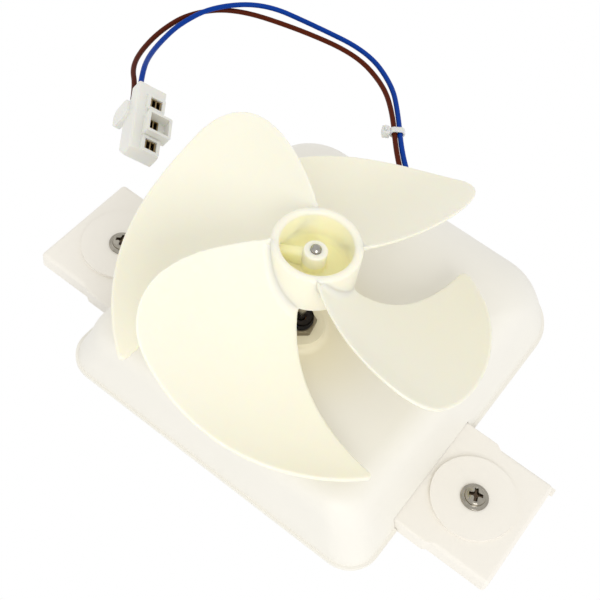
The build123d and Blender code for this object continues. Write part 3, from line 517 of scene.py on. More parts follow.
def surface_material(name, group, feeds, bump, reach):
    """A material whose base colour, roughness and relief come from a surface group."""
    material = bpy.data.materials.new(name)
    material.use_nodes = True
    tree = material.node_tree
    shader = tree.nodes["Principled BSDF"]
    skin = add_node(tree, "ShaderNodeGroup", feeds, node_tree=group)
    tree.links.new(skin.outputs["Colour"], shader.inputs["Base Color"])
    tree.links.new(skin.outputs["Roughness"], shader.inputs["Roughness"])
    relief = {"Strength": bump, "Distance": reach, "Height": skin.outputs["Height"]}
    tree.links.new(add_node(tree, "ShaderNodeBump", relief).outputs["Normal"], shader.inputs["Normal"])
    return material, shader


def moulded_skin():
    """Slow clouds in colour and gloss, and the fine pebble of a moulded face."""
    inputs = {
        "Colour": (0.8, 0.8, 0.8, 1),
        "Shade": (0.7, 0.7, 0.7, 1),
        "Cloud scale": 30.0,
        "Gloss low": 0.3,
        "Gloss high": 0.4,
    }
    group, entry, leave = node_group("moulded_skin", inputs, SURFACE)
    if entry is None:
        return group
    given = entry.outputs
    place = object_place(group)
    cloud = noise(group, place, {"Scale": given["Cloud scale"], "Detail": 3})
    colour = blend(group, cloud, given["Colour"], given["Shade"])
    gloss = spread(group, cloud, given["Gloss low"], given["Gloss high"])
    pebble = noise(group, place, {"Scale": PEBBLE_SCALE, "Detail": 2})
    leave_surface(group, leave, colour, gloss, pebble)
    return group


def plastic(name, colour, shade, gloss=(0.3, 0.42), cloud=30.0, bump=0.02, soft=0.0):
    """A moulded plastic whose colour, gloss and pebble come from the moulded_skin group."""
    feeds = {
        "Colour": linear(colour),
        "Shade": linear(shade),
        "Cloud scale": cloud,
        "Gloss low": gloss[0],
        "Gloss high": gloss[1],
    }
    material, shader = surface_material(name, moulded_skin(), feeds, bump, 0.2 * MM)
    shader.inputs["IOR"].default_value = PLASTIC_IOR
    if soft:
        shader.inputs["Subsurface Weight"].default_value = soft
        shader.inputs["Subsurface Radius"].default_value = SOFT_RADIUS
        shader.inputs["Subsurface Scale"].default_value = SOFT_DEPTH
    return material


def zone_mask():
    """A mask that is 1 inside an upright cylinder and fades to 0 over a soft band at side and ends."""
    inputs = {"Centre": (0, 0, 0), "Radius": 0.01, "Low": 0.0, "High": 1.0, "Soft": 0.0005}
    group, entry, leave = node_group("zone_mask", inputs, {"Mask": 1})
    if entry is None:
        return group
    given = entry.outputs
    apart = {0: object_place(group), 1: given["Centre"]}
    offset = add_node(group, "ShaderNodeVectorMath", apart, operation="SUBTRACT").outputs["Vector"]
    parts = add_node(group, "ShaderNodeSeparateXYZ", {0: offset}).outputs
    flat = add_node(group, "ShaderNodeCombineXYZ", {"X": parts["X"], "Y": parts["Y"]}).outputs[0]
    distance = add_node(group, "ShaderNodeVectorMath", {0: flat}, operation="LENGTH").outputs["Value"]
    from_side = reckon(group, given["Radius"], "SUBTRACT", distance)
    from_low = reckon(group, parts["Z"], "SUBTRACT", given["Low"])
    from_high = reckon(group, given["High"], "SUBTRACT", parts["Z"])
    nearest = reckon(group, reckon(group, from_side, "MINIMUM", from_low), "MINIMUM", from_high)
    feeds = {"Value": nearest, "From Max": given["Soft"]}
    fade = add_node(group, "ShaderNodeMapRange", feeds, interpolation_type="SMOOTHSTEP")
    group.links.new(fade.outputs["Result"], leave.inputs["Mask"])
    return group


def tint_zone(material, colour, radius, low, high, soft, centre=(0, 0, 0)):
    """Mix a material's base colour with another one inside a zone."""
    tree = material.node_tree
    base = tree.nodes["Principled BSDF"].inputs["Base Color"]
    feeds = {"Centre": centre, "Radius": radius, "Low": low, "High": high, "Soft": soft}
    mask = add_node(tree, "ShaderNodeGroup", feeds, node_tree=zone_mask()).outputs["Mask"]
    tree.links.new(blend(tree, mask, base.links[0].from_socket, linear(colour)), base)


def worked_metal():
    """Noise stretched along one axis: tone, roughness and relief of a drawn or turned grain."""
    inputs = {
        "Dark": (0.4, 0.4, 0.4, 1),
        "Light": (0.6, 0.6, 0.6, 1),
        "Grain": (400, 400, 40),
        "Rough low": 0.25,
        "Rough high": 0.4,
    }
    group, entry, leave = node_group("worked_metal", inputs, SURFACE)
    if entry is None:
        return group
    given = entry.outputs
    feeds = {0: object_place(group), 1: given["Grain"]}
    place = add_node(group, "ShaderNodeVectorMath", feeds, operation="MULTIPLY").outputs["Vector"]
    grain = noise(group, place, {"Scale": 3, "Detail": 4})
    tone = blend(group, grain, given["Dark"], given["Light"])
    rough = spread(group, grain, given["Rough low"], given["Rough high"])
    leave_surface(group, leave, tone, rough, grain)
    return group


def metal(name, colour, roughness=0.3, grain=(400, 400, 40), bump=0.1, metallic=1.0):
    """A worked metal: tone, roughness and relief come from the worked_metal group."""
    feeds = {
        "Dark": linear([c * TONE_SWING[0] for c in colour]),
        "Light": linear([min(1, c * TONE_SWING[1]) for c in colour]),
        "Grain": grain,
        "Rough low": roughness * ROUGH_SWING[0],
        "Rough high": roughness * ROUGH_SWING[1],
    }
    material, shader = surface_material(name, worked_metal(), feeds, bump, 0.1 * MM)
    shader.inputs["Metallic"].default_value = metallic
    return material


def laminated(name):
    """Stacked sheets: waves along Z, a sheet's thickness apart, darken the gaps and groove them."""
    material = metal(name, (0.42, 0.42, 0.44), roughness=0.45, grain=(25, 25, 1500))
    tree = material.node_tree
    inputs = tree.nodes["Principled BSDF"].inputs
    wave = {"Scale": 2 * math.pi / (WAVE_TURN * SHEET), "Vector": object_place(tree)}
    sheets = add_node(tree, "ShaderNodeTexWave", wave, bands_direction="Z").outputs["Fac"]
    feeds = {"Value": sheets, "From Min": 0.08, "From Max": 0.3}
    gap = add_node(tree, "ShaderNodeMapRange", feeds).outputs["Result"]
    steel = inputs["Base Color"].links[0].from_socket
    tree.links.new(blend(tree, gap, linear((0.1, 0.1, 0.1)), steel), inputs["Base Color"])
    grain = inputs["Normal"].links[0].from_socket
    relief = {"Strength": 0.5, "Distance": 0.2 * MM, "Height": gap, "Normal": grain}
    tree.links.new(add_node(tree, "ShaderNodeBump", relief).outputs["Normal"], inputs["Normal"])
    return material


def fan_plastic():
    """The fan's cream plastic, with painted bounce light inside the hub's cup: a deeper yellow that
    stands in for light bounced between the cup's walls, but not on the boss.
    """
    colours = bpy.context.scene.fan_motor_plastics
    fan = bpy.context.scene.fan_motor_fan
    shade = [c * 0.985 for c in colours.fan]
    material = plastic("fan_plastic", colours.fan, shade, gloss=(0.28, 0.4), soft=0.25)
    cup = fan.hub_radius - fan.hub_wall * 0.75
    bottom = HUB_TOP - fan.cup_depth - fan.floor
    # Painted bounce light inside the cup, then the boss set back to the plain fan colour
    tint_zone(material, colours.cup, cup, bottom, HUB_TOP - 0.8 * MM, 1.5 * MM)
    boss = fan.boss_radius + 0.3 * MM
    tint_zone(material, colours.fan, boss, BOSS_TOP - 5 * MM, HUB_TOP, 0.4 * MM)
    return material


def paint(obj, material):
    """Give an object one material in place of those it has."""
    obj.data.materials.clear()
    obj.data.materials.append(material)


def look_from(azimuth, elevation, roll):
    """Camera axes: azimuth 0 looks along +Y, and roll turns the picture."""
    level = math.cos(elevation)
    back = Vector((math.sin(azimuth) * level, -math.cos(azimuth) * level, math.sin(elevation)))
    right = Vector((math.cos(azimuth), math.sin(azimuth), 0))
    up = back.cross(right)
    side = math.cos(roll) * right + math.sin(roll) * up
    top = -math.sin(roll) * right + math.cos(roll) * up
    return side, top, back


def white_to(tree, rays, shade, white, output):
    """Show plain white to the given kinds of ray and the shade to all others."""
    path = add_node(tree, "ShaderNodeLightPath", {}).outputs
    seen = path[rays[0]]
    for ray in rays[1:]:
        seen = reckon(tree, seen, "MAXIMUM", path[ray])
    mix = add_node(tree, "ShaderNodeMixShader", {0: seen, 1: shade, 2: white})
    tree.links.new(mix.outputs["Shader"], tree.nodes[output].inputs["Surface"])


class FANMOTOR_OT_stage(bpy.types.Operator):
    """Make the camera, the floor and the soft studio light"""

    bl_idname = "fanmotor.stage"
    bl_label = "Stage"

    def execute(self, context):
        scene = context.scene
        studio = scene.fan_motor_studio
        side, top, back = look_from(studio.azimuth, studio.elevation, studio.roll)
        camera = bpy.data.cameras.new("camera")
        camera.sensor_width = SENSOR
        camera.lens = studio.focal_pixels * SENSOR / PICTURE
        camera.clip_start = 10 * MM
        holder = bpy.data.objects.new("camera", camera)
        place = Vector(studio.target) + back * studio.distance
        turn = Matrix((side, top, back)).transposed().to_4x4()
        holder.matrix_world = Matrix.Translation(place) @ turn
        scene.collection.objects.link(holder)
        scene.camera = holder
        self.floor(scene)
        self.lamps(scene, studio)
        self.sky(scene, studio)
        scene.view_settings.view_transform = "Standard"
        return {"FINISHED"}

    def floor(self, scene):
        """A wide square under the model that takes its shadow and shows white to the camera."""
        mesh = bpy.data.meshes.new("floor")
        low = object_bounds()[0][2] - FLOOR_GAP
        reach = FLOOR_REACH
        signs = ((-1, -1), (1, -1), (1, 1), (-1, 1))
        mesh.from_pydata([(x * reach, y * reach, low) for x, y in signs], [], [(0, 1, 2, 3)])
        floor = bpy.data.objects.new("floor", mesh)
        scene.collection.objects.link(floor)
        material = bpy.data.materials.new("floor")
        material.use_nodes = True
        tree = material.node_tree
        shader = tree.nodes["Principled BSDF"]
        shader.inputs["Base Color"].default_value = FLOOR_COLOUR
        shader.inputs["Roughness"].default_value = FLOOR_ROUGHNESS
        shader.inputs["Specular IOR Level"].default_value = DULL
        glow = add_node(tree, "ShaderNodeEmission", {"Color": WHITE, "Strength": 1.0})
        rays = ("Is Camera Ray", "Is Glossy Ray", "Is Transmission Ray")
        shown = glow.outputs["Emission"]
        white_to(tree, rays, shader.outputs["BSDF"], shown, "Material Output")
        paint(floor, material)
        floor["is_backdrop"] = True

    def lamps(self, scene, studio):
        """Two square lamps, each turned to the target."""
        plans = [("key", KEY_LAMP, studio.key), ("fill", FILL_LAMP, studio.fill)]
        for name, (offset, size), power in plans:
            lamp = bpy.data.lights.new(name, "AREA")
            lamp.size = size
            lamp.energy = power
            holder = bpy.data.objects.new(name, lamp)
            holder.location = Vector(studio.target) + Vector(offset)
            holder.rotation_euler = Vector(offset).to_track_quat("Z", "Y").to_euler()
            scene.collection.objects.link(holder)

    def sky(self, scene, studio):
        """Even light from all sides, shown white to the camera."""
        world = bpy.data.worlds.new("sky")
        scene.world = world
        world.use_nodes = True
        tree = world.node_tree
        light = tree.nodes["Background"]
        light.inputs["Color"].default_value = SKY_COLOUR
        light.inputs["Strength"].default_value = studio.sky
        white = add_node(tree, "ShaderNodeBackground", {"Color": WHITE, "Strength": 1.0})
        rays = ("Is Camera Ray", "Is Transmission Ray")
        shown = white.outputs["Background"]
        white_to(tree, rays, light.outputs["Background"], shown, "World Output")


def blade_height(x, y):
    """Height of the upper face: the dish, less the slope times y, plus the camber, less the curl."""
    middle = DISH_HEIGHT + DISH_DEPTH * (1 - x / DISH_RADIUS) ** 2
    slope = ROOT_SLOPE - SLOPE_FALL * (x / FAN_RADIUS) ** 2
    curl = CURL * (1 - (x / FAN_RADIUS) ** 3) * (y / FAN_RADIUS) ** 3
    return middle - slope * y + y * y / (2 * CAMBER_RADIUS) - curl


def edge_angles(radius, fan):
    """Angles of the high and the low edge at each radius, in radians, with both corners round."""
    share = np.clip((radius - fan.hub_radius) / (FAN_RADIUS - fan.hub_radius), 0, 1)
    corner = np.clip((share - HIGH_CORNER_START) / (1 - HIGH_CORNER_START), 0, 1)
    high = HIGH_EDGE[0] + HIGH_EDGE[1] * share + HIGH_EDGE[2] * share**2
    high = high + HIGH_CORNER_TURN * (1 - np.sqrt(1 - corner**2))
    low = LOW_EDGE[0] + LOW_EDGE[1] * share + LOW_EDGE[2] * share**2
    over = np.clip(radius - (FAN_RADIUS - fan.corner), 0, fan.corner)
    drawn_in = (fan.corner - np.sqrt(fan.corner**2 - over**2)) / radius
    return np.radians(high), np.radians(low) - drawn_in


def outline_distance(x, y, fan):
    """Distance in plan from each point to the nearest point of the blade's two edges and rim."""
    along_edge, along_rim = 260, 420
    radius = FAN_RADIUS - (FAN_RADIUS - fan.hub_radius) * np.linspace(0, 1, along_edge) ** 2
    high, low = edge_angles(radius, fan)
    rim = np.linspace(low[0], high[0], along_rim)
    angle = np.concatenate([low, rim, high])
    out = np.concatenate([radius, 0 * rim + FAN_RADIUS, radius])
    gap = np.hypot(x.reshape(-1, 1) - out * np.cos(angle), y.reshape(-1, 1) - out * np.sin(angle))
    return gap.min(axis=1).reshape(x.shape)


def fan_blade(fan):
    """A blade as rings about its section, from the hub's wall to the rim.

    A ring runs over the upper face from the low to the high edge and back under it. The half
    thickness is eased by a quarter circle along the outline, and grows by a fillet at the hub.
    Points lie closer in the fillet, in the corner, and in a strip along each edge. The strip is
    wider where the edge slants, up to most_lean times, and takes most_share of the chord at most.
    """
    in_fillet, in_middle, in_corner = 16, 56, 18
    in_strip, in_chord, most_lean, most_share = 8, 46, 3, 0.2
    root = fan.hub_radius - fan.hub_wall / 2
    fillet = fan.hub_radius + fan.flare * (1 - np.cos(np.linspace(0, np.pi / 2, in_fillet)))
    inner = np.linspace(fillet[-1], FAN_RADIUS - fan.corner, in_middle)[1:]
    outer = FAN_RADIUS - fan.corner * (1 - np.sin(np.linspace(0, np.pi / 2, in_corner)[1:]))
    radius = np.concatenate([[root], fillet, inner, outer])
    high, low = edge_angles(radius, fan)
    lean_high = np.hypot(1, radius * np.gradient(high, radius))
    lean_low = np.hypot(1, radius * np.gradient(low, radius))
    chord = radius * (low - high)
    strips = [fan.edge * np.minimum(lean, most_lean) / chord for lean in (lean_low, lean_high)]
    near, far = (np.minimum(strip, most_share)[:, None] for strip in strips)
    curve = 1 - np.cos(np.linspace(0, np.pi / 2, in_strip))
    middle = np.linspace(0, 1, in_chord)[1:-1]
    parts = [near * curve, near + (1 - near - far) * middle, 1 - far * curve[::-1]]
    across = np.concatenate(parts, axis=1)
    angle = low[:, None] + (high - low)[:, None] * across
    x, y = radius[:, None] * np.cos(angle), radius[:, None] * np.sin(angle)
    share = ease(outline_distance(x, y, fan), fan.edge)
    share[:, 0] = share[:, -1] = share[-1] = 0
    reach = np.clip(radius - fan.hub_radius, 0, fan.flare)
    flare = (fan.flare - np.sqrt(fan.flare**2 - (fan.flare - reach) ** 2))[:, None]
    top = blade_height(x, y)
    centre = top - fan.thickness / 2
    upper = centre + (fan.thickness / 2 + flare) * share
    upper = np.where(flare > 0, np.minimum(upper, np.maximum(top, HUB_TOP - fan.edge)), upper)
    lower = centre - (fan.thickness / 2 + flare) * share
    lower = np.where(flare > 0, np.maximum(lower, np.minimum(top - fan.thickness, HUB_BOTTOM)), lower)
    over = np.stack([x, y, upper], axis=-1)
    under = np.stack([x, y, lower], axis=-1)[:, -2:0:-1]
    return closed_ends(np.concatenate([over, under], axis=1))[:-1]


def fan_hub(fan):
    """The hub's section, a closed line with round corners, turned about the shaft."""
    inner = fan.hub_radius - fan.hub_wall
    cup = HUB_TOP - fan.cup_depth
    under = cup - fan.floor
    outer, boss, bore = fan.hub_radius, fan.boss_radius, fan.bore
    corners = [
        (outer, HUB_BOTTOM), (outer, HUB_TOP), (inner, HUB_TOP), (inner, cup),
        (boss, cup), (boss, BOSS_TOP), (bore, BOSS_TOP), (bore, BOSS_BOTTOM),
        (boss, BOSS_BOTTOM), (boss, under), (inner, under), (inner, HUB_BOTTOM),
    ]
    radii = [0.5, 1.25, 1.25, 1.8, 0.9, 0.6, 0.25, 0.25, 0.5, 0.9, 0.9, 0.5]
    return turned(rounded(corners, [r * MM for r in radii]), HUB_STEPS)


def fan_rib(fan):
    """A ramp with a round top from the boss to the cup's wall, falling as it goes out."""
    out = np.linspace(fan.bore * 1.3, fan.hub_radius - fan.hub_wall / 2, 24)
    bottom = HUB_TOP - fan.cup_depth - fan.floor / 2
    half, deep, first_fall = fan.rib_width / 2, 3 * MM, 0.6 * MM
    corners = [(-half, -deep), (-half, 0), (half, 0), (half, -deep)]
    section = rounded(corners, [0, half * 0.7, half * 0.7, 0], 8)
    fall = first_fall + (fan.rib_drop - first_fall) * out / (fan.hub_radius - fan.hub_wall)
    height = (BOSS_TOP - fall)[:, None] + section[:, 1]
    height = np.where(section[:, 1] <= -deep, bottom, height)
    along, across = out[:, None] + 0 * section[:, 0], section[:, 0] + 0 * out[:, None]
    grid = np.stack([along, across, height], axis=-1)
    return about_shaft(closed_ends(grid), fan.rib_angle)


class FANMOTOR_OT_fan(bpy.types.Operator):
    """Mould the fan: hub, boss, rib and blades with round edges"""

    bl_idname = "fanmotor.fan"
    bl_label = "Fan"

    def execute(self, context):
        fan = context.scene.fan_motor_fan
        blade = fan_blade(fan)
        turns = [BLADE_MIDDLE_ANGLE + 2 * math.pi * i / fan.blades for i in range(fan.blades)]
        shells = [(fan_hub(fan), True), (fan_rib(fan), False)]
        shells += [(about_shaft(blade, turn), False) for turn in turns]
        cream = fan_plastic()
        new_piece("fan_moulding", shells, cream, "rotor", ["fan_impeller"], crease=50)
        return {"FINISHED"}


def hex_nut(neck):
    """Radius of a hexagon at each angle, limited by a cone at the top that cuts the corners."""
    edge, cone_fall = 0.12 * MM, 1.7
    high = NUT_TOP - NUT_BOTTOM
    shoulder = high - neck.chamfer
    apothem = neck.across_flats / 2
    corner = apothem / math.cos(math.pi / 6)
    angle = np.linspace(0, 2 * np.pi, NUT_STEPS, endpoint=False) + neck.turn
    flat = apothem / np.cos((angle - neck.turn) % (math.pi / 3) - math.pi / 6)
    levels = [0, edge, shoulder - neck.chamfer, shoulder]
    levels = np.array(levels + [high - neck.chamfer * share for share in (0.66, 0.33, 0.1, 0)])
    cone = corner - edge + np.minimum(0, (shoulder - levels) * cone_fall)
    cone[0] -= edge
    outer = np.minimum(np.minimum(flat, cone[:, None]), corner - edge)
    wall = on_circle(outer, angle, NUT_BOTTOM + levels[:, None])
    hole = neck.radius - edge
    profile = np.array([(hole + 2 * edge, NUT_TOP), (hole, NUT_TOP - edge), (hole, NUT_BOTTOM)])
    return np.concatenate([wall, about_shaft(turned(profile, NUT_STEPS), neck.turn)])


def threaded_sleeve(radius, depth, pitch, bottom, top):
    """A thread: the radius rises and falls once in each pitch, and a pitch later after each turn."""
    rows_in_pitch = 12
    height = np.arange(bottom, top, pitch / rows_in_pitch)[:, None]
    angle = np.linspace(0, 2 * np.pi, THREAD_STEPS, endpoint=False)
    phase = (height / pitch - angle / (2 * np.pi)) % 1
    fade = ease(np.minimum(height - bottom, top - height), pitch)
    out = radius - depth * (1 - fade * (1 - np.abs(2 * phase - 1)))
    outer = on_circle(out, angle, height)
    core = radius - 2 * depth
    inner = turned(np.array([(core, height[-1, 0]), (core, bottom)]), THREAD_STEPS)
    return np.concatenate([outer, inner])


class FANMOTOR_OT_neck(bpy.types.Operator):
    """Make the hexagon nut and the thread of the neck that stands out of it"""

    bl_idname = "fanmotor.neck"
    bl_label = "Neck and nut"

    def execute(self, context):
        neck = context.scene.fan_motor_neck
        tone, grain = (0.52, 0.48, 0.39), (300, 300, 60)
        steel = metal("nut_steel", tone, roughness=0.42, grain=grain, bump=0.15, metallic=0.5)
        nut = [(hex_nut(neck), True)]
        new_piece("hex_nut", nut, steel, "motor", ["neck_nut"], crease=25)
        # Painted shade: the thread that stands out of the nut is made near black, for the shade in the
        # gap round the neck
        black = metal("shade_dark_thread", (0.06, 0.045, 0.04), roughness=0.5, metallic=0.6)
        crest = neck.radius + neck.depth / 2
        ends = NUT_TOP - 0.2 * MM, NECK_TOP - 0.1 * MM
        sleeve = threaded_sleeve(crest, neck.depth, neck.pitch, *ends)
        new_piece("neck_thread", [(sleeve, True)], black, "motor", [])
        return {"FINISHED"}


def flange_screw(screw):
    """A turned screw whose head sinks by the cross recess and whose shank swells by the thread.

    The recess is as deep as the distance inside two crossed bars allows. The thread's crest is a
    narrow triangle that repeats with each pitch and climbs a pitch in each turn.
    """
    top, seat, head = screw.seat + screw.height, screw.seat, screw.head
    crown, shoulder, foot, rim = 0.12 * MM, 0.85 * MM, 0.75 * MM, 0.62 * MM
    corners = [
        (0, top), (head * 0.5, top - crown), (head * 0.97, top - shoulder), (head, seat + foot),
        (screw.flange, seat + rim), (screw.flange, seat), (screw.neck, seat),
        (screw.neck, screw.under), (screw.thread, screw.under), (screw.thread, 0), (0, 0),
    ]
    radii = [r * MM for r in (0, 4.0, 0.9, 0.3, 0.3, 0.15, 0, 0.1, 0, 0.5, 0)]
    grid = turned(evenly(rounded(corners, radii), 0.09 * MM), SCREW_STEPS)
    x, y, _ = np.moveaxis(about_shaft(grid, -screw.recess_turn), -1, 0)
    long, wide = screw.recess_length / 2, screw.recess_width / 2
    wall, rise, round_middle = 0.25 * MM, 0.45, 1.9
    bar = np.maximum(np.abs(x) - long, np.abs(y) - wide)
    other = np.maximum(np.abs(y) - long, np.abs(x) - wide)
    middle = np.hypot(x, y) - wide * round_middle
    inside = np.clip(-np.minimum(np.minimum(bar, other), middle) / wall, 0, 1)
    sunk = screw.recess_depth * inside * (1 - rise * np.hypot(x, y) / long)
    grid[..., 2] -= np.where(grid[..., 2] > seat + screw.height / 2, sunk, 0)
    angle = np.arctan2(grid[..., 1], grid[..., 0])
    phase = (grid[..., 2] / screw.pitch - angle / (2 * np.pi)) % 1
    half_crest, root = 0.24, 0.78
    crest = np.clip(1 - np.abs(phase - 0.5) / half_crest, 0, 1)
    outside = np.hypot(grid[..., 0], grid[..., 1]) > screw.thread * 0.95
    shank = (grid[..., 2] < screw.under - 0.05 * MM) & outside
    grid[..., :2] *= np.where(shank, root + (1 - root) * crest, 1)[..., None]
    return grid


class FANMOTOR_OT_ear_screws(bpy.types.Operator):
    """Make the two flanged pan-head screws in the ears"""

    bl_idname = "fanmotor.ear_screws"
    bl_label = "Ear screws"

    def execute(self, context):
        screw = context.scene.fan_motor_screws
        grain = (150, 150, 500)
        steel = metal("ear_screw_steel", (0.66, 0.64, 0.60), roughness=0.2, grain=grain, bump=0.08)
        # Painted shade: deep in each cross recess the steel is tinted dark brown-grey
        floor = screw.seat + screw.height - 0.75 * MM
        reach = screw.recess_length / 2 + 0.2 * MM
        for side in (-1, 1):
            centre = (side * screw.spacing / 2, 0, 0)
            tint_zone(steel, (0.34, 0.29, 0.24), reach, floor - 2 * MM, floor, 0.2 * MM, centre)
        shells = [(flange_screw(screw) + [side * screw.spacing / 2, 0, 0], False) for side in (-1, 1)]
        nodes = ["ear_screws"]
        new_piece("ear_flange_screws", shells, steel, "motor", nodes, crease=32)
        return {"FINISHED"}


class FANMOTOR_OT_coil(bpy.types.Operator):
    """Wind the coil: a round-cornered tube whose outside rises and falls with each turn of wire"""

    bl_idname = "fanmotor.coil"
    bl_label = "Coil"

    def execute(self, context):
        coil = context.scene.fan_motor_coil
        low, high = (np.array(c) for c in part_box("coil_winding"))
        size, middle = high - low, (high + low) / 2
        along = np.linspace(low[0], high[0], coil.turns * 6 + 1)
        ridge = coil.wire * np.abs(np.sin(np.pi * coil.turns * (along - low[0]) / size[0]))
        loop = round_loop(size[1], size[2], coil.corner, 10)
        out = loop / np.linalg.norm(loop, axis=1, keepdims=True)
        outer = loop[None] + (ridge[:, None, None] - coil.wire) * out[None]
        core = 0.72
        inner = np.broadcast_to(loop * core, (2,) + loop.shape)
        rings = np.concatenate([outer, inner])
        x = np.concatenate([along, [high[0], low[0]]])
        places = np.broadcast_to(x[:, None, None], rings.shape[:2] + (1,))
        grid = np.concatenate([places, rings], axis=-1) + [0, middle[1], middle[2]]
        wire = metal("enamelled_wire", (0.58, 0.25, 0.11), grain=(30, 400, 400), metallic=0.7)
        new_piece("wound_coil", [(grid, True)], wire, "motor", ["coil_winding"])
        return {"FINISHED"}


def tie_axes():
    """Middle of the tied run, and its directions along the leads, across them and up."""
    blue, brown = np.array(BLUE_ROUTE[2:4]), np.array(BROWN_ROUTE[2:4])
    along = (blue[1] - blue[0]) / np.linalg.norm(blue[1] - blue[0])
    across = blue.mean(axis=0) - brown.mean(axis=0)
    across = across - along * (across @ along)
    gap = np.linalg.norm(across)
    across = across / gap
    return (blue.mean(axis=0) + brown.mean(axis=0)) / 2, along, across, np.cross(across, along), gap


def soft_block(size, power=0.35, steps=28):
    """A block with soft corners: sines and cosines raised to a small power, as on a superellipsoid."""
    def swell(value):
        return np.sign(value) * np.abs(value) ** power

    up = np.linspace(-np.pi / 2, np.pi / 2, steps)[:, None]
    round_it = np.linspace(0, 2 * np.pi, 2 * steps, endpoint=False)
    out = swell(np.cos(up))
    height = swell(np.sin(up)) + 0 * round_it
    shape = [out * swell(np.cos(round_it)), out * swell(np.sin(round_it)), height]
    return np.stack(shape, axis=-1) * np.array(size) / 2


class FANMOTOR_OT_tie(bpy.types.Operator):
    """Close the cable tie round both leads: a flat band, its head and the cut end of its tail"""

    bl_idname = "fanmotor.tie"
    bl_label = "Cable tie"

    def execute(self, context):
        tie = context.scene.fan_motor_tie
        lead = context.scene.fan_motor_leads.diameter
        centre, along, across, up, gap = tie_axes()
        high = lead + tie.clearance + tie.band
        wide = gap + high
        path = round_loop(wide, high, high / 2 * 0.98, 14)
        normal = np.gradient(np.concatenate([path[-1:], path, path[:1]]), axis=0)[1:-1]
        normal = np.stack([normal[:, 1], -normal[:, 0]], axis=-1)
        normal = normal / np.linalg.norm(normal, axis=1, keepdims=True)
        section = round_loop(tie.band, tie.width, 0.3 * MM, 5)
        flat = path[:, None] + normal[:, None] * section[None, :, :1]
        band = flat[..., :1] * across + flat[..., 1:] * up + section[None, :, 1:] * along + centre
        side = -(gap + lead) / 2 - tie.head / 2 - tie.band * 0.4
        head_size = tie.head * 0.8, tie.head * 0.95, tie.head
        tail_size = tie.band, 1.6 * MM, tie.width * 0.9
        head = soft_block(head_size) + [side, 0, 0]
        tail = soft_block(tail_size, power=0.25)
        tail = tail + [side - 0.3 * MM, tie.head / 2, 0]
        axes = np.stack([across, up, along])
        shells = [(band, True), (head @ axes + centre, False), (tail @ axes + centre, False)]
        tone = context.scene.fan_motor_plastics.tie
        nylon = plastic("tie_plastic", tone, (0.86, 0.86, 0.84), soft=0.3)
        new_piece("nylon_tie", shells, nylon, "motor", ["cable_tie"])
        return {"FINISHED"}


class FANMOTOR_OT_housings(bpy.types.Operator):
    """Ease the edges of the cap, the strap and the connector, and colour them"""

    bl_idname = "fanmotor.housings"
    bl_label = "Housings"

    def execute(self, context):
        colours = context.scene.fan_motor_plastics
        cap, bracket, connector = colours.cap, colours.bracket, colours.connector
        plans = [
            ("motor_cap", "cap_moulding", 0.25, "cap_plastic", cap, 0.985, {"gloss": (0.35, 0.5)}),
            ("mounting_bracket", "strap_moulding", 0.5, "bracket_plastic", bracket, 0.98,
             {"gloss": (0.38, 0.5)}),
            ("connector_housing", "connector_moulding", 0.25, "connector_plastic", connector, 0.98,
             {"soft": 0.2}),
        ]
        for node, name, ease_mm, slot, colour, darker, looks in plans:
            material = plastic(slot, colour, [c * darker for c in colour], **looks)
            # Painted shade and reflection: the cap is tinted warmer under the fan
            if node == "motor_cap":
                tint_zone(material, *CAP_PAINTED_SHADE)
            eased_copy(node, name, ease_mm * MM, material)
        return {"FINISHED"}


def smooth_lead(name, route, diameter, material):
    """A NURBS curve whose control points are the lead's route, with a round bevel.

    The bevel is 1 m and each point's radius scales it to the lead's, because the object's bounds
    count a point's radius in metres.
    """
    curve = bpy.data.curves.new(name, "CURVE")
    curve.dimensions = "3D"
    curve.resolution_u = 10
    curve.bevel_depth = 1
    curve.bevel_resolution = 4
    curve.use_fill_caps = True
    spline = curve.splines.new("NURBS")
    spline.points.add(len(route) - 1)
    for point, place in zip(spline.points, route):
        point.co = (*place, 1)
        point.radius = diameter / 2
    spline.order_u = 3
    spline.use_endpoint_u = True
    lead = bpy.data.objects.new(name, curve)
    bpy.context.scene.collection.objects.link(lead)
    curve.materials.append(material)
    return lead


def route_length(lead):
    """Length of a lead's own line, read from its spline with no bevel."""
    depth = lead.data.bevel_depth
    lead.data.bevel_depth = 0
    bpy.context.view_layer.update()
    seen = lead.evaluated_get(bpy.context.evaluated_depsgraph_get())
    line = bpy.data.meshes.new_from_object(seen)
    lead.data.bevel_depth = depth
    bpy.context.view_layer.update()
    points = np.zeros(len(line.vertices) * 3)
    line.vertices.foreach_get("co", points)
    bpy.data.meshes.remove(line)
    return float(np.linalg.norm(np.diff(points.reshape(-1, 3), axis=0), axis=1).sum())


class FANMOTOR_OT_leads(bpy.types.Operator):
    """Lay the blue and the brown lead from the grommet to the connector"""

    bl_idname = "fanmotor.leads"
    bl_label = "Leads"

    def execute(self, context):
        leads = context.scene.fan_motor_leads
        plans = [
            ("blue_lead_sleeve", "blue_lead", BLUE_ROUTE, leads.blue, "blue_insulation"),
            ("brown_lead_sleeve", "brown_lead", BROWN_ROUTE, leads.brown, "brown_insulation"),
        ]
        for name, node, route, colour, slot in plans:
            shade = [c * 0.85 for c in colour]
            material = plastic(name, colour, shade, gloss=(0.35, 0.5), cloud=80, bump=0.01)
            shader = material.node_tree.nodes["Principled BSDF"]
            shader.inputs["Specular IOR Level"].default_value = DULL
            lead = smooth_lead(name, route, leads.diameter, material)
            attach(lead, "motor")
            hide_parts(node)
            route_length(lead)
        return {"FINISHED"}


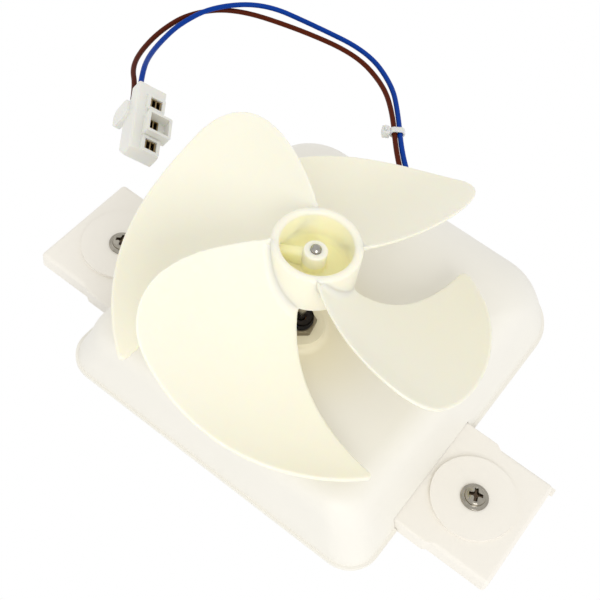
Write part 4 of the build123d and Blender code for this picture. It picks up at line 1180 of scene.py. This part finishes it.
class FANMOTOR_OT_inside(bpy.types.Operator):
    """Give each piece that stays as it was imported its finish"""

    bl_idname = "fanmotor.inside"
    bl_label = "Inside"

    def execute(self, context):
        zinc = metal("cast_zinc", (0.60, 0.61, 0.63), roughness=0.5, grain=(200, 200, 200))
        # Painted shade: the bracket's neck end above the nut is tinted near black
        over_neck = 6 * MM, NUT_TOP - 0.1 * MM, NECK_TOP + 1 * MM
        tint_zone(zinc, (0.10, 0.09, 0.08), *over_neck, 0.1 * MM)
        dark, worn = (0.16, 0.13, 0.11), (0.08, 0.06, 0.05)
        felt = plastic("felt", dark, worn, gloss=(0.9, 1.0), cloud=900, bump=0.6)
        soft = (0.82, 0.81, 0.78), (0.78, 0.77, 0.74)
        plan = [
            (metal("screw_steel", (0.62, 0.60, 0.57), 0.28), ["cap_screws", "motor_screws"]),
            (metal("shaft_steel", (0.68, 0.67, 0.65), 0.22, (500, 500, 20)), ["motor_shaft"]),
            (laminated("lamination_steel"), ["stator_core", "rotor_core"]),
            (zinc, ["front_bearing_bracket", "rear_bearing_bracket"]),
            (metal("cast_aluminium", (0.74, 0.74, 0.75), 0.42, (150, 150, 150)), ["rotor_cage"]),
            (metal("bronze", (0.62, 0.45, 0.25), 0.45, (600, 600, 600)),
             ["front_bearing", "rear_bearing", "shaft_spacers"]),
            (metal("brass", (0.60, 0.52, 0.38), 0.35), ["connector_terminals", "coil_terminals"]),
            (metal("copper", (0.72, 0.36, 0.20), 0.35), ["shading_rings"]),
            (plastic("bobbin_plastic", (0.88, 0.87, 0.83), (0.84, 0.83, 0.79)), ["coil_bobbin"]),
            (plastic("washer_plastic", (0.82, 0.81, 0.76), (0.78, 0.77, 0.72)),
             ["thrust_washers", "thrust_disc"]),
            (plastic("grommet_rubber", *soft, gloss=(0.6, 0.7)), ["lead_grommet"]),
            (plastic("lead_sleeving", (0.06, 0.10, 0.3), (0.05, 0.09, 0.27)), ["inner_leads"]),
            (felt, ["oil_felts"]),
        ]
        for material, nodes in plan:
            for node in nodes:
                paint(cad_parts[node], material)
        return {"FINISHED"}


class FANMOTOR_PT_panel(bpy.types.Panel):
    """List the operators in the sidebar"""

    bl_idname = "FANMOTOR_PT_panel"
    bl_label = "Fan motor"
    bl_space_type = "VIEW_3D"
    bl_region_type = "UI"
    bl_category = "Fan motor"

    def draw(self, context):
        for operator in OPERATORS:
            self.layout.operator(operator.bl_idname)


GROUPS = {
    "fan_motor_studio": StudioSettings,
    "fan_motor_plastics": PlasticSettings,
    "fan_motor_fan": FanSettings,
    "fan_motor_neck": NeckSettings,
    "fan_motor_screws": ScrewSettings,
    "fan_motor_coil": CoilSettings,
    "fan_motor_tie": TieSettings,
    "fan_motor_leads": LeadSettings,
}
OPERATORS = (
    FANMOTOR_OT_inside,
    FANMOTOR_OT_housings,
    FANMOTOR_OT_fan,
    FANMOTOR_OT_neck,
    FANMOTOR_OT_ear_screws,
    FANMOTOR_OT_coil,
    FANMOTOR_OT_tie,
    FANMOTOR_OT_leads,
    FANMOTOR_OT_stage,
)


def register():
    """Register the classes, and hang the settings on the scene."""
    for cls in (*GROUPS.values(), *OPERATORS, FANMOTOR_PT_panel):
        bpy.utils.register_class(cls)
    for name, group in GROUPS.items():
        setattr(bpy.types.Scene, name, PointerProperty(type=group))


def unregister():
    """Take off what register put on."""
    for name in GROUPS:
        delattr(bpy.types.Scene, name)
    for cls in (FANMOTOR_PT_panel, *OPERATORS, *GROUPS.values()):
        bpy.utils.unregister_class(cls)


def main():
    register()
    bpy.ops.fanmotor.inside()
    bpy.ops.fanmotor.housings()
    bpy.ops.fanmotor.fan()
    bpy.ops.fanmotor.neck()
    bpy.ops.fanmotor.ear_screws()
    bpy.ops.fanmotor.coil()
    bpy.ops.fanmotor.tie()
    bpy.ops.fanmotor.leads()
    bpy.ops.fanmotor.stage()


if __name__ == "__main__":
    main()
